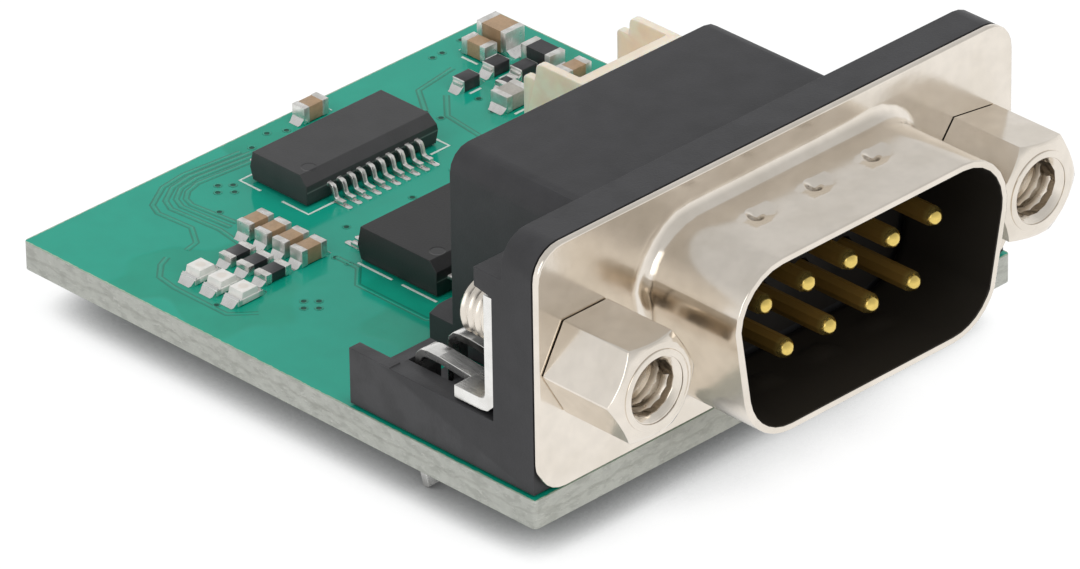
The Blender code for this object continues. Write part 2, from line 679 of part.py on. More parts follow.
def make_housing(shop):
    """Flange plate, hood, side brackets and a low rear step of one moulding, with a slot for each contact."""
    plate = rectangle(
        (-HOUSING_SIDE, SEAT_GAP),
        (HOUSING_SIDE, FLANGE_TOP),
        (0, 0, FLANGE_CORNER, FLANGE_CORNER),
    )
    mesh = outline_mesh("connector_housing", [plate], PLATE_FRONT, PLATE_REAR, "XZ")
    housing = shop.part("connector_housing", mesh, "black_moulding")

    hood = rectangle(
        (-HOOD_HALF_WIDTH, SEAT_GAP),
        (HOOD_HALF_WIDTH, HOOD_TOP),
        (0, 0, HOOD_EDGE, HOOD_EDGE),
        4,
    )
    plate_middle = (PLATE_FRONT + PLATE_REAR) / 2
    shop.add(housing, outline_mesh("hood", [hood], plate_middle, HOOD_REAR, "XZ"))

    ledge_bottom = STRAP_TOP + SEAT_GAP + LEDGE_GAP
    ledge_top = ledge_bottom + LEDGE_HEIGHT
    ledge_rear = BACKING_REAR + LEDGE_THICKNESS
    bracket = [
        (plate_middle, SEAT_GAP),
        (FOOT_REAR, SEAT_GAP),
        (FOOT_REAR, FOOT_TOP),
        (BACKING_REAR, FOOT_TOP),
        (BACKING_REAR, ledge_bottom - LEDGE_GAP / 2),
        (ledge_rear, ledge_bottom + LEDGE_GAP / 2),
        (ledge_rear, ledge_top),
        (plate_middle, ledge_top),
    ]
    inner = HOOD_HALF_WIDTH - HOOD_EDGE
    slot_half = LOCK_SPAN / 2 + HOLE_CLEARANCE
    for side in (-1, 1):
        tag = "left" if side < 0 else "right"
        ends = sorted((side * inner, side * HOUSING_SIDE))
        shop.add(housing, outline_mesh("bracket_" + tag, [bracket], ends[0], ends[1], "YZ"))
        fence = sorted((side * (HOUSING_SIDE - FENCE_THICKNESS), side * HOUSING_SIDE))
        low = (fence[0], FOOT_REAR - FENCE_THICKNESS, SEAT_GAP)
        high = (fence[1], HOOD_REAR, SEAT_GAP + FENCE_HEIGHT)
        shop.add(housing, box_mesh("fence_" + tag, low, high))

        centre = side * JACK_X
        low = (centre - slot_half, LEG_Y - 2.2 * PRONG_THICKNESS - HOLE_CLEARANCE, -SEAT_GAP)
        high = (centre + slot_half, SLOT_REAR, FOOT_TOP + SEAT_GAP)
        shop.cut(housing, box_mesh("lock_slot_" + tag, low, high))
        low = (centre - slot_half, STRAP_FOOT_END + SEAT_GAP, FOOT_TOP - ARCH_RECESS)
        high = (centre + slot_half, LEG_Y, FOOT_TOP + SEAT_GAP)
        shop.cut(housing, box_mesh("arch_recess_" + tag, low, high))
        notch = sorted((side * HOOD_HALF_WIDTH, side * (JACK_X - NOTCH_PAST_JACK)))
        low = (notch[0], STRAP_FOOT_END + SEAT_GAP, -SEAT_GAP)
        high = (notch[1], FOOT_REAR + SEAT_GAP, FOOT_TOP + SEAT_GAP)
        shop.cut(housing, box_mesh("foot_notch_" + tag, low, high))

    jacks = [(side * JACK_X, FLANGE_MIDDLE) for side in (-1, 1)]
    through = (PLATE_FRONT - SEAT_GAP, BACKING_REAR + SEAT_GAP)
    shop.cut(housing, cylinder_mesh("jack_holes", jacks, JACK_HOLE, *through, 14))
    pocket = d_section(FIT_CLEARANCE - SHEET)
    shop.cut(housing, outline_mesh("insulator_pocket", [pocket], PLATE_FRONT - SEAT_GAP, PLATE_REAR, "XZ"))
    for number, x, z, _ in contact_places():
        low = (x - SLOT_WIDTH / 2, PLATE_REAR - SEAT_GAP, -SEAT_GAP)
        high = (x + SLOT_WIDTH / 2, HOOD_REAR + SEAT_GAP, z + SLOT_WIDTH / 2)
        shop.cut(housing, box_mesh(f"contact_slot_{number}", low, high))

    across, along = REAR_STEP_CORNER
    step_front = HOOD_REAR - TAIL_INSET / 3
    step_rear = HOOD_REAR + REAR_STEP_LENGTH
    step = [
        (-HOOD_HALF_WIDTH, step_front),
        (HOOD_HALF_WIDTH, step_front),
        (HOOD_HALF_WIDTH, step_rear - along),
        (HOOD_HALF_WIDTH - across, step_rear),
        (across - HOOD_HALF_WIDTH, step_rear),
        (-HOOD_HALF_WIDTH, step_rear - along),
    ]
    shop.add(housing, outline_mesh("rear_step", [step], SEAT_GAP, SEAT_GAP + REAR_STEP_HEIGHT, "XY"))
    return housing


def make_insulator(shop):
    """The inner block that holds the contacts, seen at the back of the shell."""
    outline = d_section(-SHEET - FIT_CLEARANCE)
    front = FLANGE_FRONT + INSULATOR_SETBACK
    mesh = outline_mesh("contact_insulator", [outline], front, PLATE_REAR - SEAT_GAP, "XZ")
    block = shop.part("contact_insulator", mesh, "inner_moulding")
    places = [(x, z) for _, x, z, _ in contact_places()]
    bore = PIN_DIAMETER + 2 * FIT_CLEARANCE
    shop.cut(block, cylinder_mesh("contact_bores", places, bore, front - SEAT_GAP, PLATE_REAR, 10))
    return block


def make_contacts(shop):
    """Each contact is a round pin with a domed tip that steps down to a wire bent to the board."""
    tip = SHELL_RIM + PIN_RECESS
    step = PLATE_REAR - 0.35 * PLATE_THICKNESS
    radius = PIN_DIAMETER / 2
    for number, x, z, tail_y in contact_places():
        points = []
        for angle in (80, 55, 28, 0):
            bend = math.radians(angle)
            points.append((tip + radius * (1 - math.sin(bend)), z, radius * math.cos(bend)))
        points.append((step, z, radius))
        points.append((step + (radius - TAIL_DIAMETER / 2), z, TAIL_DIAMETER / 2))
        for y, level in arc((tail_y - TAIL_BEND, z - TAIL_BEND), TAIL_BEND, math.pi / 2, 0.0, 4):
            points.append((y, level, TAIL_DIAMETER / 2))
        points.append((tail_y, TAIL_END, TAIL_DIAMETER / 2))
        curve = bpy.data.curves.new(f"contact_pin_{number}", "CURVE")
        curve.dimensions = "3D"
        curve.bevel_depth = radius
        curve.bevel_resolution = 2
        curve.use_fill_caps = True
        curve.materials.append(MATERIALS["gold_plate"])
        spline = curve.splines.new("POLY")
        spline.points.add(len(points) - 1)
        for point, (y, level, size) in zip(spline.points, points):
            point.co = (0.0, y, level, 1.0)
            point.radius = size / radius
        pin = bpy.data.objects.new(f"contact_pin_{number}", curve)
        pin.location.x = x
        shop.parts.objects.link(pin)


def make_board_locks(shop):
    """A strap bent to an L behind each bracket, its foot running out into two arched prongs."""
    strap_path = [(STRAP_MIDDLE_Y, STRAP_TOP), (STRAP_MIDDLE_Y, STRAP_FOOT_Z), (STRAP_FOOT_END, STRAP_FOOT_Z)]
    strap = strip_outline(softened(strap_path, STRAP_BEND + STRAP_THICKNESS / 2), STRAP_THICKNESS)
    crest = STRAP_FOOT_Z + PRONG_RISE
    prong_path = [
        (STRAP_FOOT_END - 0.5 * STRAP_FOOT, STRAP_FOOT_Z),
        (STRAP_FOOT_END, STRAP_FOOT_Z),
        (STRAP_FOOT_END + 0.62 * PRONG_REACH, crest),
        (LEG_Y, crest),
        (LEG_Y, BOARD_UNDERSIDE - 0.4 * STANDING_REACH),
        (LEG_Y - PRONG_THICKNESS, GROUND),
    ]
    prong = strip_outline(softened(prong_path, 0.3 * PRONG_REACH), PRONG_THICKNESS)
    lowest = min(z for _, z in prong)
    prong = [(y, z + (GROUND - lowest) if z < BOARD_UNDERSIDE else z) for y, z in prong]
    for side, tag in ((-1, "left"), (1, "right")):
        centre = side * JACK_X
        ends = (centre - STRAP_WIDTH / 2, centre + STRAP_WIDTH / 2)
        mesh = outline_mesh("board_lock_" + tag, [strap], *ends, "YZ")
        lock = shop.part("board_lock_" + tag, mesh, "bright_tin")
        for place in (-0.5, 0.5):
            middle = centre + place * PRONG_PITCH
            ends = (middle - PRONG_WIDTH / 2, middle + PRONG_WIDTH / 2)
            shop.add(lock, outline_mesh(f"prong_{tag}_{'a' if place < 0 else 'b'}", [prong], *ends, "YZ"))
        through = (STRAP_MIDDLE_Y - STRAP_THICKNESS, STRAP_MIDDLE_Y + STRAP_THICKNESS)
        shop.cut(lock, cylinder_mesh("strap_hole_" + tag, [(centre, FLANGE_MIDDLE)], JACK_HOLE, *through, 14))


def make_standoffs(shop):
    """Hex bar with a turned chamfer, a blind bore from the front and a shank to the rear."""
    rear = FLANGE_FRONT - FIT_CLEARANCE / 2
    front = rear - HEX_LENGTH
    fall = (HEX_CORNER - HEX_FACE_DIAMETER / 2) * math.tan(HEX_CHAMFER_ANGLE)
    shank_end = STRAP_MIDDLE_Y + STRAP_THICKNESS / 2 + SHANK_BEYOND
    shank = SHANK_DIAMETER / 2 - THREAD_DEPTH
    tip = 0.18 * SHANK_DIAMETER
    envelope = [
        (0.0, shank_end),
        (shank - tip, shank_end),
        (shank, shank_end - tip),
        (shank, rear),
        (HEX_CORNER * 1.05, rear),
        (HEX_CORNER * 1.05, front + fall * 1.2),
        (HEX_FACE_DIAMETER / 2, front),
        (0.0, front),
    ]
    flare = (BORE_MOUTH - BORE_DIAMETER) / 2
    bore = [
        (0.0, front + BORE_DEPTH),
        (BORE_DIAMETER / 2, front + BORE_DEPTH - 0.3 * BORE_DIAMETER),
        (BORE_DIAMETER / 2, front + flare),
        (BORE_MOUTH / 2, front),
        (BORE_MOUTH / 2, front - SEAT_GAP),
        (0.0, front - SEAT_GAP),
    ]
    for side, tag, turn in ((-1, "left", 0.0), (1, "right", RIGHT_HEX_TURN)):
        hexagon = circle((0.0, 0.0), 2 * HEX_CORNER, 6)
        mesh = outline_mesh("hex_standoff_" + tag, [hexagon], front - SEAT_GAP, rear + SHEET, "XZ")
        bar = shop.part("hex_standoff_" + tag, mesh, "nickel_plate")
        bar.location = (side * JACK_X, 0.0, FLANGE_MIDDLE)
        bar.rotation_euler.y = turn
        move = Matrix.Translation(bar.location) @ Matrix.Rotation(turn, 4, "Y")
        ends = (rear - SHEET, shank_end + SHEET)
        body = cylinder_mesh("shank_blank_" + tag, [(0.0, 0.0)], 1.2 * SHANK_DIAMETER, *ends)
        profile = turned_mesh("standoff_profile_" + tag, envelope)
        profile.transform(Matrix.Rotation(math.pi / TURN_SIDES, 4, "Y"))
        cutter = turned_mesh("standoff_bore_" + tag, bore, 14)
        for blank in (body, profile, cutter):
            blank.transform(move)
        shop.combine(bar, body, "UNION")
        shop.combine(bar, profile, "INTERSECT")
        shop.combine(bar, cutter, "DIFFERENCE")


def make_header(shop):
    """Shroud with a base, a front wall and two stepped end walls, open to the rear."""
    base = SEAT_GAP
    top = base + HEADER_HEIGHT
    step_y = HEADER_REAR - HEADER_STEP_LENGTH
    step_z = top - HEADER_STEP_DEPTH
    corners = [
        (HEADER_FRONT, base),
        (HEADER_REAR, base),
        (HEADER_REAR, step_z),
        (step_y, step_z),
        (step_y, top),
        (HEADER_FRONT, top),
    ]
    side = rounded(corners, (0, 0, HEADER_ROUND * 0.6, 0, HEADER_ROUND, 0), 3)
    mesh = outline_mesh("header_shroud", [side], HEADER_LEFT, HEADER_RIGHT, "YZ")
    shroud = shop.part("header_shroud", mesh, "cream_nylon")
    low = (HEADER_LEFT + HEADER_WALL, HEADER_FRONT + HEADER_FRONT_WALL, base + HEADER_BASE)
    high = (HEADER_RIGHT - HEADER_WALL, HEADER_REAR + SEAT_GAP, top + SEAT_GAP)
    shop.cut(shroud, box_mesh("header_cavity", low, high))
    half = HEADER_PIN / 2
    room = half + FIT_CLEARANCE / 2
    for number, x in enumerate(header_pin_places(), 1):
        low = (x - room, HEADER_PIN_Y - room, 0.0)
        high = (x + room, HEADER_PIN_Y + room, base + HEADER_BASE + SEAT_GAP)
        shop.cut(shroud, box_mesh(f"header_pin_hole_{number}", low, high))
        bm = bmesh.new()
        bmesh.ops.create_cube(bm, size=1.0)
        low = Vector((x - half, HEADER_PIN_Y - half, GROUND))
        high = Vector((x + half, HEADER_PIN_Y + half, base + HEADER_BASE + HEADER_PIN_RISE))
        bmesh.ops.scale(bm, vec=high - low, verts=bm.verts)
        bmesh.ops.translate(bm, vec=(high + low) / 2, verts=bm.verts)
        ends = [f for f in bm.faces if abs(f.normal.z) > 0.9]
        bmesh.ops.inset_region(bm, faces=ends[:1], thickness=half / 2, depth=0.0)
        bmesh.ops.inset_region(bm, faces=ends[1:], thickness=half / 2, depth=0.0)
        for face in ends:
            sign = 1 if face.normal.z > 0 else -1
            bmesh.ops.translate(bm, vec=(0, 0, sign * half), verts=face.verts)
        lowest = min(v.co.z for v in bm.verts)
        for vert in bm.verts:
            if vert.co.z < GROUND + half:
                vert.co.z += GROUND - lowest
        mesh = bpy.data.meshes.new(f"header_pin_{number}")
        bm.to_mesh(mesh)
        bm.free()
        shop.part(f"header_pin_{number}", mesh, "bright_tin")


def lead_outline(width, reach, middle):
    """A gull-wing lead in the YZ plane, from inside the body out to the front and down to its foot."""
    body = -width / 2
    toe = body - reach
    foot = SOLDER_GAP + LEAD_THICKNESS / 2
    heel = toe + LEAD_FOOT
    path = [
        (body + LEAD_ROOT, middle),
        (heel + LEAD_SLOPE, middle),
        (heel, foot),
        (toe, foot),
    ]
    return strip_outline(softened(path, LEAD_BEND, 2), LEAD_THICKNESS)


def make_chip(shop, name, place, sizes, leads):
    """A drafted two-part moulding, chamfered along its front top edge, with a row of leads each side."""
    length, width, height, reach = sizes
    pitch, lead_width, count = leads
    base = CHIP_STANDOFF
    top = base + height
    middle = base + height * 0.48
    draft = math.tan(CHIP_DRAFT)
    upper = width / 2 - (top - middle) * draft
    lower = width / 2 - (middle - base) * draft
    section = [
        (-lower, base),
        (lower, base),
        (width / 2, middle),
        (upper, top),
        (-upper + CHIP_CHAMFER, top),
        (-upper - CHIP_CHAMFER * draft, top - CHIP_CHAMFER),
        (-width / 2, middle),
    ]
    mesh = outline_mesh(name, [section], -length / 2, length / 2, "YZ")
    for vert in mesh.vertices:
        pull = abs(vert.co.z - middle) * draft
        vert.co.x -= math.copysign(pull, vert.co.x)
    chip = shop.part(name, mesh, "chip_epoxy")
    chip.location = (place[0], place[1], 0.0)

    bent = lead_outline(width, reach, middle)
    single = outline_mesh(name + "_lead", [bent], -lead_width / 2, lead_width / 2, "YZ")
    bm = bmesh.new()
    for side in (0, 1):
        for index in range(count):
            before = len(bm.verts)
            bm.from_mesh(single)
            bm.verts.ensure_lookup_table()
            fresh = bm.verts[before:]
            x = (index - (count - 1) / 2) * pitch
            move = Matrix.Rotation(math.pi * side, 4, "Z") @ Matrix.Translation((x, 0, 0))
            bmesh.ops.transform(bm, matrix=Matrix.Translation(chip.location) @ move, verts=fresh)
    rows = bpy.data.meshes.new(name + "_leads")
    bm.to_mesh(rows)
    bm.free()
    shop.add(chip, rows)
    return chip


def box_at(name, size, middle, turn):
    """A box of a size about a middle, then turned about the upright and moved into place."""
    half = Vector(size) / 2
    mesh = box_mesh(name, Vector(middle) - half, Vector(middle) + half)
    mesh.transform(turn)
    return settle(mesh)


def make_terminal_part(shop, name, finish, place, sizes, turned=False):
    """A brick with a metal cap at each end, along X or turned along Y, standing on its solder gap."""
    length, width, height, terminal, swell = sizes
    turn = Matrix.Translation((*place, 0.0))
    if turned:
        turn = turn @ Matrix.Rotation(math.pi / 2, 4, "Z")
    level = SOLDER_GAP + max(swell, 0.0) + height / 2
    piece = shop.part(name, box_at(name, (length - terminal, width, height), (0, 0, level), turn), finish)
    cap_size = (terminal, width + 2 * swell, height + 2 * swell)
    cap_level = SOLDER_GAP + cap_size[2] / 2
    for sign, end in ((-1, "a"), (1, "b")):
        middle = (sign * (length - terminal) / 2, 0, cap_level)
        shop.add(piece, box_at(f"{name}_cap_{end}", cap_size, middle, turn))


def make_led(shop, name, place):
    """A flat base with a drafted lens on it."""
    turn = Matrix.Translation((*place, 0.0))
    middle = (0, 0, SOLDER_GAP + LED_BASE_HEIGHT / 2)
    size = (CHIP_PART_LENGTH, LED_WIDTH, LED_BASE_HEIGHT)
    lamp = shop.part(name, box_at(name, size, middle, turn), "led_white")
    level = SOLDER_GAP + LED_BASE_HEIGHT
    crown = level + LED_LENS_HEIGHT
    slope = LED_LENS_HEIGHT * 0.3
    reach = LED_LENS_LENGTH / 2
    foot = level - LED_BASE_HEIGHT / 2
    side = [(-reach, foot), (reach, foot), (reach, level), (reach - slope, crown), (slope - reach, crown)]
    side.append((-reach, level))
    half = LED_WIDTH / 2 - LED_LENS_INSET
    lens = outline_mesh(name + "_lens", [side], -half, half, "XZ")
    lens.transform(turn)
    shop.add(lamp, lens)


def make_left_group(shop):
    """Columns of small parts left of the rear chip, and one capacitor at the rear edge."""
    capacitor = (CHIP_PART_LENGTH, CHIP_PART_WIDTH, CAPACITOR_HEIGHT, TERMINAL_LENGTH, TERMINAL_SWELL)
    resistor = (CHIP_PART_LENGTH, CHIP_PART_WIDTH, RESISTOR_HEIGHT, TERMINAL_LENGTH, TERMINAL_SWELL)
    for index in range(4):
        place = (CAPACITOR_X, INTERFACE_Y - CAPACITOR_AHEAD - index * ROW_PITCH)
        make_terminal_part(shop, f"row_capacitor_{index + 1}", "ceramic_tan", place, capacitor)
    for index in range(3):
        place = (RESISTOR_X, INTERFACE_Y - RESISTOR_AHEAD - index * ROW_PITCH)
        make_terminal_part(shop, f"row_resistor_{index + 1}", "resistor_black", place, resistor)
    for index in range(3):
        make_led(shop, f"status_led_{index + 1}", (LED_X, INTERFACE_Y - LED_AHEAD - index * LED_PITCH))
    place = (EDGE_CAPACITOR_X, BOARD_LENGTH - EDGE_CAPACITOR_MARGIN - CHIP_PART_WIDTH / 2)
    make_terminal_part(shop, "edge_capacitor", "ceramic_tan", place, capacitor)


def make_right_group(shop):
    """Small parts behind the header."""
    ends = (TERMINAL_LENGTH, TERMINAL_SWELL)
    small = (CHIP_PART_LENGTH, CHIP_PART_WIDTH, CAPACITOR_HEIGHT, *ends)
    tiny = (TINY_LENGTH, TINY_WIDTH, TINY_HEIGHT, TINY_CAP, TERMINAL_SWELL)
    diode = (DIODE_LENGTH, DIODE_WIDTH, DIODE_HEIGHT, DIODE_CAP, -DIODE_CAP_INSET)
    bulk = (BULK_LENGTH, BULK_WIDTH, BULK_HEIGHT, *ends)
    bead = (BEAD_LENGTH, BEAD_WIDTH, BEAD_HEIGHT, *ends)
    coil = (INDUCTOR_LENGTH, INDUCTOR_WIDTH, INDUCTOR_HEIGHT, *ends)
    pieces = [
        ("bulk_capacitor", "ceramic_tan", BULK_PLACE, bulk, True),
        ("rear_capacitor", "ceramic_tan", REAR_CAPACITOR_PLACE, small, True),
        ("right_capacitor", "ceramic_tan", RIGHT_CAPACITOR_PLACE, small, False),
        ("ferrite_bead", "resistor_black", BEAD_PLACE, bead, True),
        ("rear_resistor", "resistor_black", REAR_RESISTOR_PLACE, tiny, False),
        ("chip_inductor", "inductor_grey", INDUCTOR_PLACE, coil, False),
    ]
    for index, place in enumerate(DIODE_PLACES, 1):
        pieces.append((f"diode_{index}", "resistor_black", place, diode, False))
    for name, finish, (from_right, behind), sizes, turned in pieces:
        place = (BOARD_RIGHT - from_right, INTERFACE_Y + behind)
        make_terminal_part(shop, name, finish, place, sizes, turned)


def stand_on_ground(shop):
    """One empty carries every piece, below the middle of the module at ground level."""
    carrier = bpy.data.objects.new("module_base", None)
    shop.parts.objects.link(carrier)
    middle = (min(SHELL_RIM, FLANGE_FRONT) + BOARD_LENGTH) / 2
    carrier.location = (0.0, -middle, -GROUND)
    for group in (shop.parts, shop.cutters):
        for piece in group.objects:
            if piece is not carrier:
                piece.parent = carrier


def main():
    for leftover in list(bpy.data.objects):
        bpy.data.objects.remove(leftover)
    make_materials()
    shop = Workshop()
    make_board(shop)
    make_front_shell(shop)
    make_housing(shop)
    make_insulator(shop)
    make_contacts(shop)
    make_board_locks(shop)
    make_standoffs(shop)
    make_header(shop)
    make_chip(
        shop,
        "interface_chip",
        (0.0, INTERFACE_Y),
        (INTERFACE_LENGTH, INTERFACE_WIDTH, INTERFACE_HEIGHT, INTERFACE_LEAD_REACH),
        (INTERFACE_PITCH, INTERFACE_LEAD_WIDTH, INTERFACE_LEADS),
    )
    make_chip(
        shop,
        "transceiver_chip",
        (TRANSCEIVER_SHIFT, TRANSCEIVER_Y),
        (TRANSCEIVER_LENGTH, TRANSCEIVER_WIDTH, TRANSCEIVER_HEIGHT, TRANSCEIVER_LEAD_REACH),
        (TRANSCEIVER_PITCH, TRANSCEIVER_LEAD_WIDTH, TRANSCEIVER_LEADS),
    )
    make_left_group(shop)
    make_right_group(shop)
    shop.weld_seams()
    stand_on_ground(shop)


main()
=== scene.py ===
"""Dresses the solids of a USB to serial adapter module: finishes, solder, threads, tracks and the stage."""

from math import cos, pi, radians, sin, tau

import bmesh
import bpy
from bpy.props import FloatProperty, FloatVectorProperty, IntProperty, PointerProperty
from mathutils import Matrix, Vector


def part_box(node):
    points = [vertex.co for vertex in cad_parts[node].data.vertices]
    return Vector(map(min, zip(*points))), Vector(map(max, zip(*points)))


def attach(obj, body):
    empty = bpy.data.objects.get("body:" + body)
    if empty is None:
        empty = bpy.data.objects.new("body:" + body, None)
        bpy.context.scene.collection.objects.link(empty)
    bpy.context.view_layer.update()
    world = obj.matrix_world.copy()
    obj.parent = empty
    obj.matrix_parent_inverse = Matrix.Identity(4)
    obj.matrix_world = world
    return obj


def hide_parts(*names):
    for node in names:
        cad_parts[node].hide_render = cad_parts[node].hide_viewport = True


bl_info = {
    "name": "Serial adapter module",
    "version": (1, 0, 0),
    "blender": (4, 5, 0),
    "location": "3D View > Sidebar > Module",
    "description": "Dresses the solids of a USB to serial adapter module and sets its stage",
    "category": "Object",
}

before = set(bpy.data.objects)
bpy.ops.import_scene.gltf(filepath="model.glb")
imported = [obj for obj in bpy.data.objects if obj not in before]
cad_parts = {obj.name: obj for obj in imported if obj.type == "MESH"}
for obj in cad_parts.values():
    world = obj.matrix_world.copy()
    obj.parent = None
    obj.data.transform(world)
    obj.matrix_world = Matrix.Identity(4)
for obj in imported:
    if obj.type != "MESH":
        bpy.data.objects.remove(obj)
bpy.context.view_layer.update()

MM = 0.001
BOARD_LOW, BOARD_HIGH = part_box("circuit_board")


def tint(red, green, blue):
    """A screen colour, 0 to 255, as linear light."""
    levels = (value / 255 for value in (red, green, blue))
    return tuple(value / 12.92 if value <= 0.04045 else ((value + 0.055) / 1.055) ** 2.4 for value in levels)


def board_point(x, y, z=0.0):
    """A place in metres, from millimetres off the middle of the board's front edge and off its upper face."""
    return Vector((x * MM, BOARD_LOW.y + y * MM, BOARD_HIGH.z + z * MM))


def middle(node):
    low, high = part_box(node)
    return (low + high) / 2


def spread(node):
    """A solid's middle and half its size, in millimetres."""
    low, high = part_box(node)
    return (low + high) / 2 / MM, (high - low) / 2 / MM


def lies_along_y(node):
    half = spread(node)[1]
    return half.y > half.x


def numbered(name, count):
    return [f"{name}_{number}" for number in range(1, count + 1)]


def colour(name, description, default):
    return FloatVectorProperty(
        name=name, description=description, default=default, subtype="COLOR", min=0, max=1
    )


def length(name, description, default):
    """A length, given in millimetres."""
    return FloatProperty(
        name=name,
        description=description,
        default=default * MM,
        subtype="DISTANCE",
        unit="LENGTH",
        precision=5,
    )


def angle(name, description, default):
    """An angle, given in degrees."""
    return FloatProperty(
        name=name, description=description, default=radians(default), subtype="ANGLE", unit="ROTATION"
    )


def share(name, description, default):
    return FloatProperty(name=name, description=description, default=default, subtype="FACTOR", min=0, max=1)


def power(name, description, default):
    return FloatProperty(name=name, description=description, default=default, subtype="POWER", unit="POWER")


class StageSettings(bpy.types.PropertyGroup):
    camera_place: FloatVectorProperty(
        name="Camera place",
        description="Where the lens is",
        default=(-0.284409, -0.290359, 0.236773),
        subtype="TRANSLATION",
        unit="LENGTH",
        precision=5,
    )
    camera_azimuth: angle("Azimuth", "Camera's direction round the module, from its front", -44.26602)
    camera_elevation: angle("Elevation", "Camera's angle above the floor", 29.92869)
    camera_roll: angle("Roll", "Camera's turn about its own axis", -0.89745)
    focal_length: FloatProperty(
        name="Focal length",
        description="Lens on a 36 mm sensor",
        default=335.4351,
        subtype="DISTANCE_CAMERA",
        unit="CAMERA",
    )
    floor_colour: colour("Floor", "Colour of the floor where it is seen", tint(92, 92, 92))
    floor_bounce: colour("Floor's light", "Colour of the floor as a source of light", tint(186, 186, 186))
    floor_glow: share("Floor glow", "How much lighter the floor is where it is seen", 0.95)
    # How far the painted shadow on the floor reaches from the module
    painted_shadow_reach: length("Shadow reach", "How far off the floor still feels the module", 6.0)
    key_power: power("Key light", "Power of the large lamp overhead", 2.0)
    fill_power: power("Fill light", "Power of each of the two lamps at the sides", 1.7)
    sky_level: share("Sky", "Level of the even light from all round", 0.5)
    ceiling_level: share("Ceiling", "Level of the ceiling as metal shows it", 0.66)


class BoardSettings(bpy.types.PropertyGroup):
    mask: colour("Solder mask", "Mask over bare laminate", tint(16, 156, 130))
    mask_on_copper: colour("Mask on copper", "Mask over copper", tint(22, 163, 139))
    track: colour("Tracks", "Mask in the gaps beside the tracks", tint(22, 128, 106))
    laminate: colour("Laminate", "Cut edge of the board", tint(212, 214, 206))
    ink: colour("Ink", "Printed outlines", tint(216, 232, 224))
    track_width: length("Track width", "Width of a raised track", 0.2)
    track_gap: length("Track gap", "Bare gap on each side of a track", 0.08)
    ink_width: length("Ink width", "Width of a printed line", 0.15)
    via_diameter: length("Via", "Diameter of a via's hole", 0.3)


class MetalSettings(bpy.types.PropertyGroup):
    nickel: colour("Nickel", "Plating of the shell and the standoffs", tint(230, 222, 211))
    gold: colour("Gold", "Plating of the contacts", tint(226, 198, 112))
    tin: colour("Tin", "Plating of leads, locks and terminals", tint(234, 233, 230))
    solder: colour("Solder", "Solder joints", tint(230, 230, 228))
    # Painted shade: this dark colour is laid on the inside of the shell's D
    cavity_painted_shade: colour("Cavity", "Inside of the shell", tint(46, 42, 36))


class MouldingSettings(bpy.types.PropertyGroup):
    housing: colour("Housing", "Black housing of the connector", tint(54, 54, 56))
    insulator: colour("Insulator", "Block that holds the contacts", tint(30, 27, 24))
    seal_width: length("Seal width", "Dark filling round the contacts, from side to side", 12.8)
    seal_height: length("Seal height", "Dark filling round the contacts, from its foot to its top", 4.5)
    # The web is a dark sheet laid on the board beside each lock where it lies in shade, a painted shade
    web: length("Web", "Thickness of the web on the board beside each lock", 0.14)
    web_front: length("Web's front", "From the board's front edge to the web", 6.0)
    shroud: colour("Shroud", "Cream header", tint(250, 229, 209))
    nylon_depth: length("Nylon depth", "How far light goes into the cream header", 0.9)
    shoulder_drop: length("Shoulder drop", "How far the header's low side walls are let down", 0.35)
    pin_depth: length("Pin depth", "From the header's rim down to the shoulders of its pins", 1.82)
    epoxy: colour("Chip body", "Moulded body of the chips", tint(44, 44, 45))


class PartSettings(bpy.types.PropertyGroup):
    ceramic: colour("Ceramic", "Capacitor body", tint(176, 146, 114))
    glaze: colour("Glaze", "Resistor and diode body", tint(44, 44, 47))
    resin: colour("Resin", "LED body", tint(240, 238, 233))
    ferrite: colour("Ferrite", "Inductor body", tint(178, 174, 166))


class SolderSettings(bpy.types.PropertyGroup):
    film: length("Film", "Height of the solder on a pad", 0.05)
    toe: length("Toe", "How far a pad reaches beyond its lead", 0.45)
    cone: length("Cone", "Height of a joint under the board", 0.75)
    land: length("Land", "Width of the ring round a hole", 0.3)


class ThreadSettings(bpy.types.PropertyGroup):
    bore_pitch: length("Bore pitch", "From one turn of the bore's thread to the next", 0.635)
    shank_pitch: length("Shank pitch", "From one turn of the shank's thread to the next", 0.45)
    depth: length("Depth", "Height of the thread", 0.165)
    run: length("Run", "Length of each thread", 3.3)
    bore_radius: length("Bore radius", "Root of the bore's thread", 1.37)
    shank_radius: length("Shank radius", "Root of the shank's thread", 1.24)
    ring_radius: length("Ring radius", "Outside of the ring round the bore's mouth", 1.98)
    ring_width: length("Ring width", "Width of that ring", 0.34)
    ring_height: length("Ring height", "How far that ring stands out", 0.07)
    steps: IntProperty(name="Steps", description="Faces round one turn", default=36, min=12, max=96)


class Wire:
    """A node's output that takes part in arithmetic: each operator adds one Math node."""

    def __init__(self, graph, socket):
        self.graph = graph
        self.socket = socket

    def __add__(self, other):
        return self.graph.maths("ADD", self, other)

    def __sub__(self, other):
        return self.graph.maths("SUBTRACT", self, other)

    def __rsub__(self, other):
        return self.graph.maths("SUBTRACT", other, self)

    def __mul__(self, other):
        return self.graph.maths("MULTIPLY", self, other)

    def __lt__(self, other):
        return self.graph.maths("LESS_THAN", self, other)

    def __gt__(self, other):
        return self.graph.maths("GREATER_THAN", self, other)

    def __abs__(self):
        return self.graph.maths("ABSOLUTE", self)

    __radd__ = __add__
    __rmul__ = __mul__


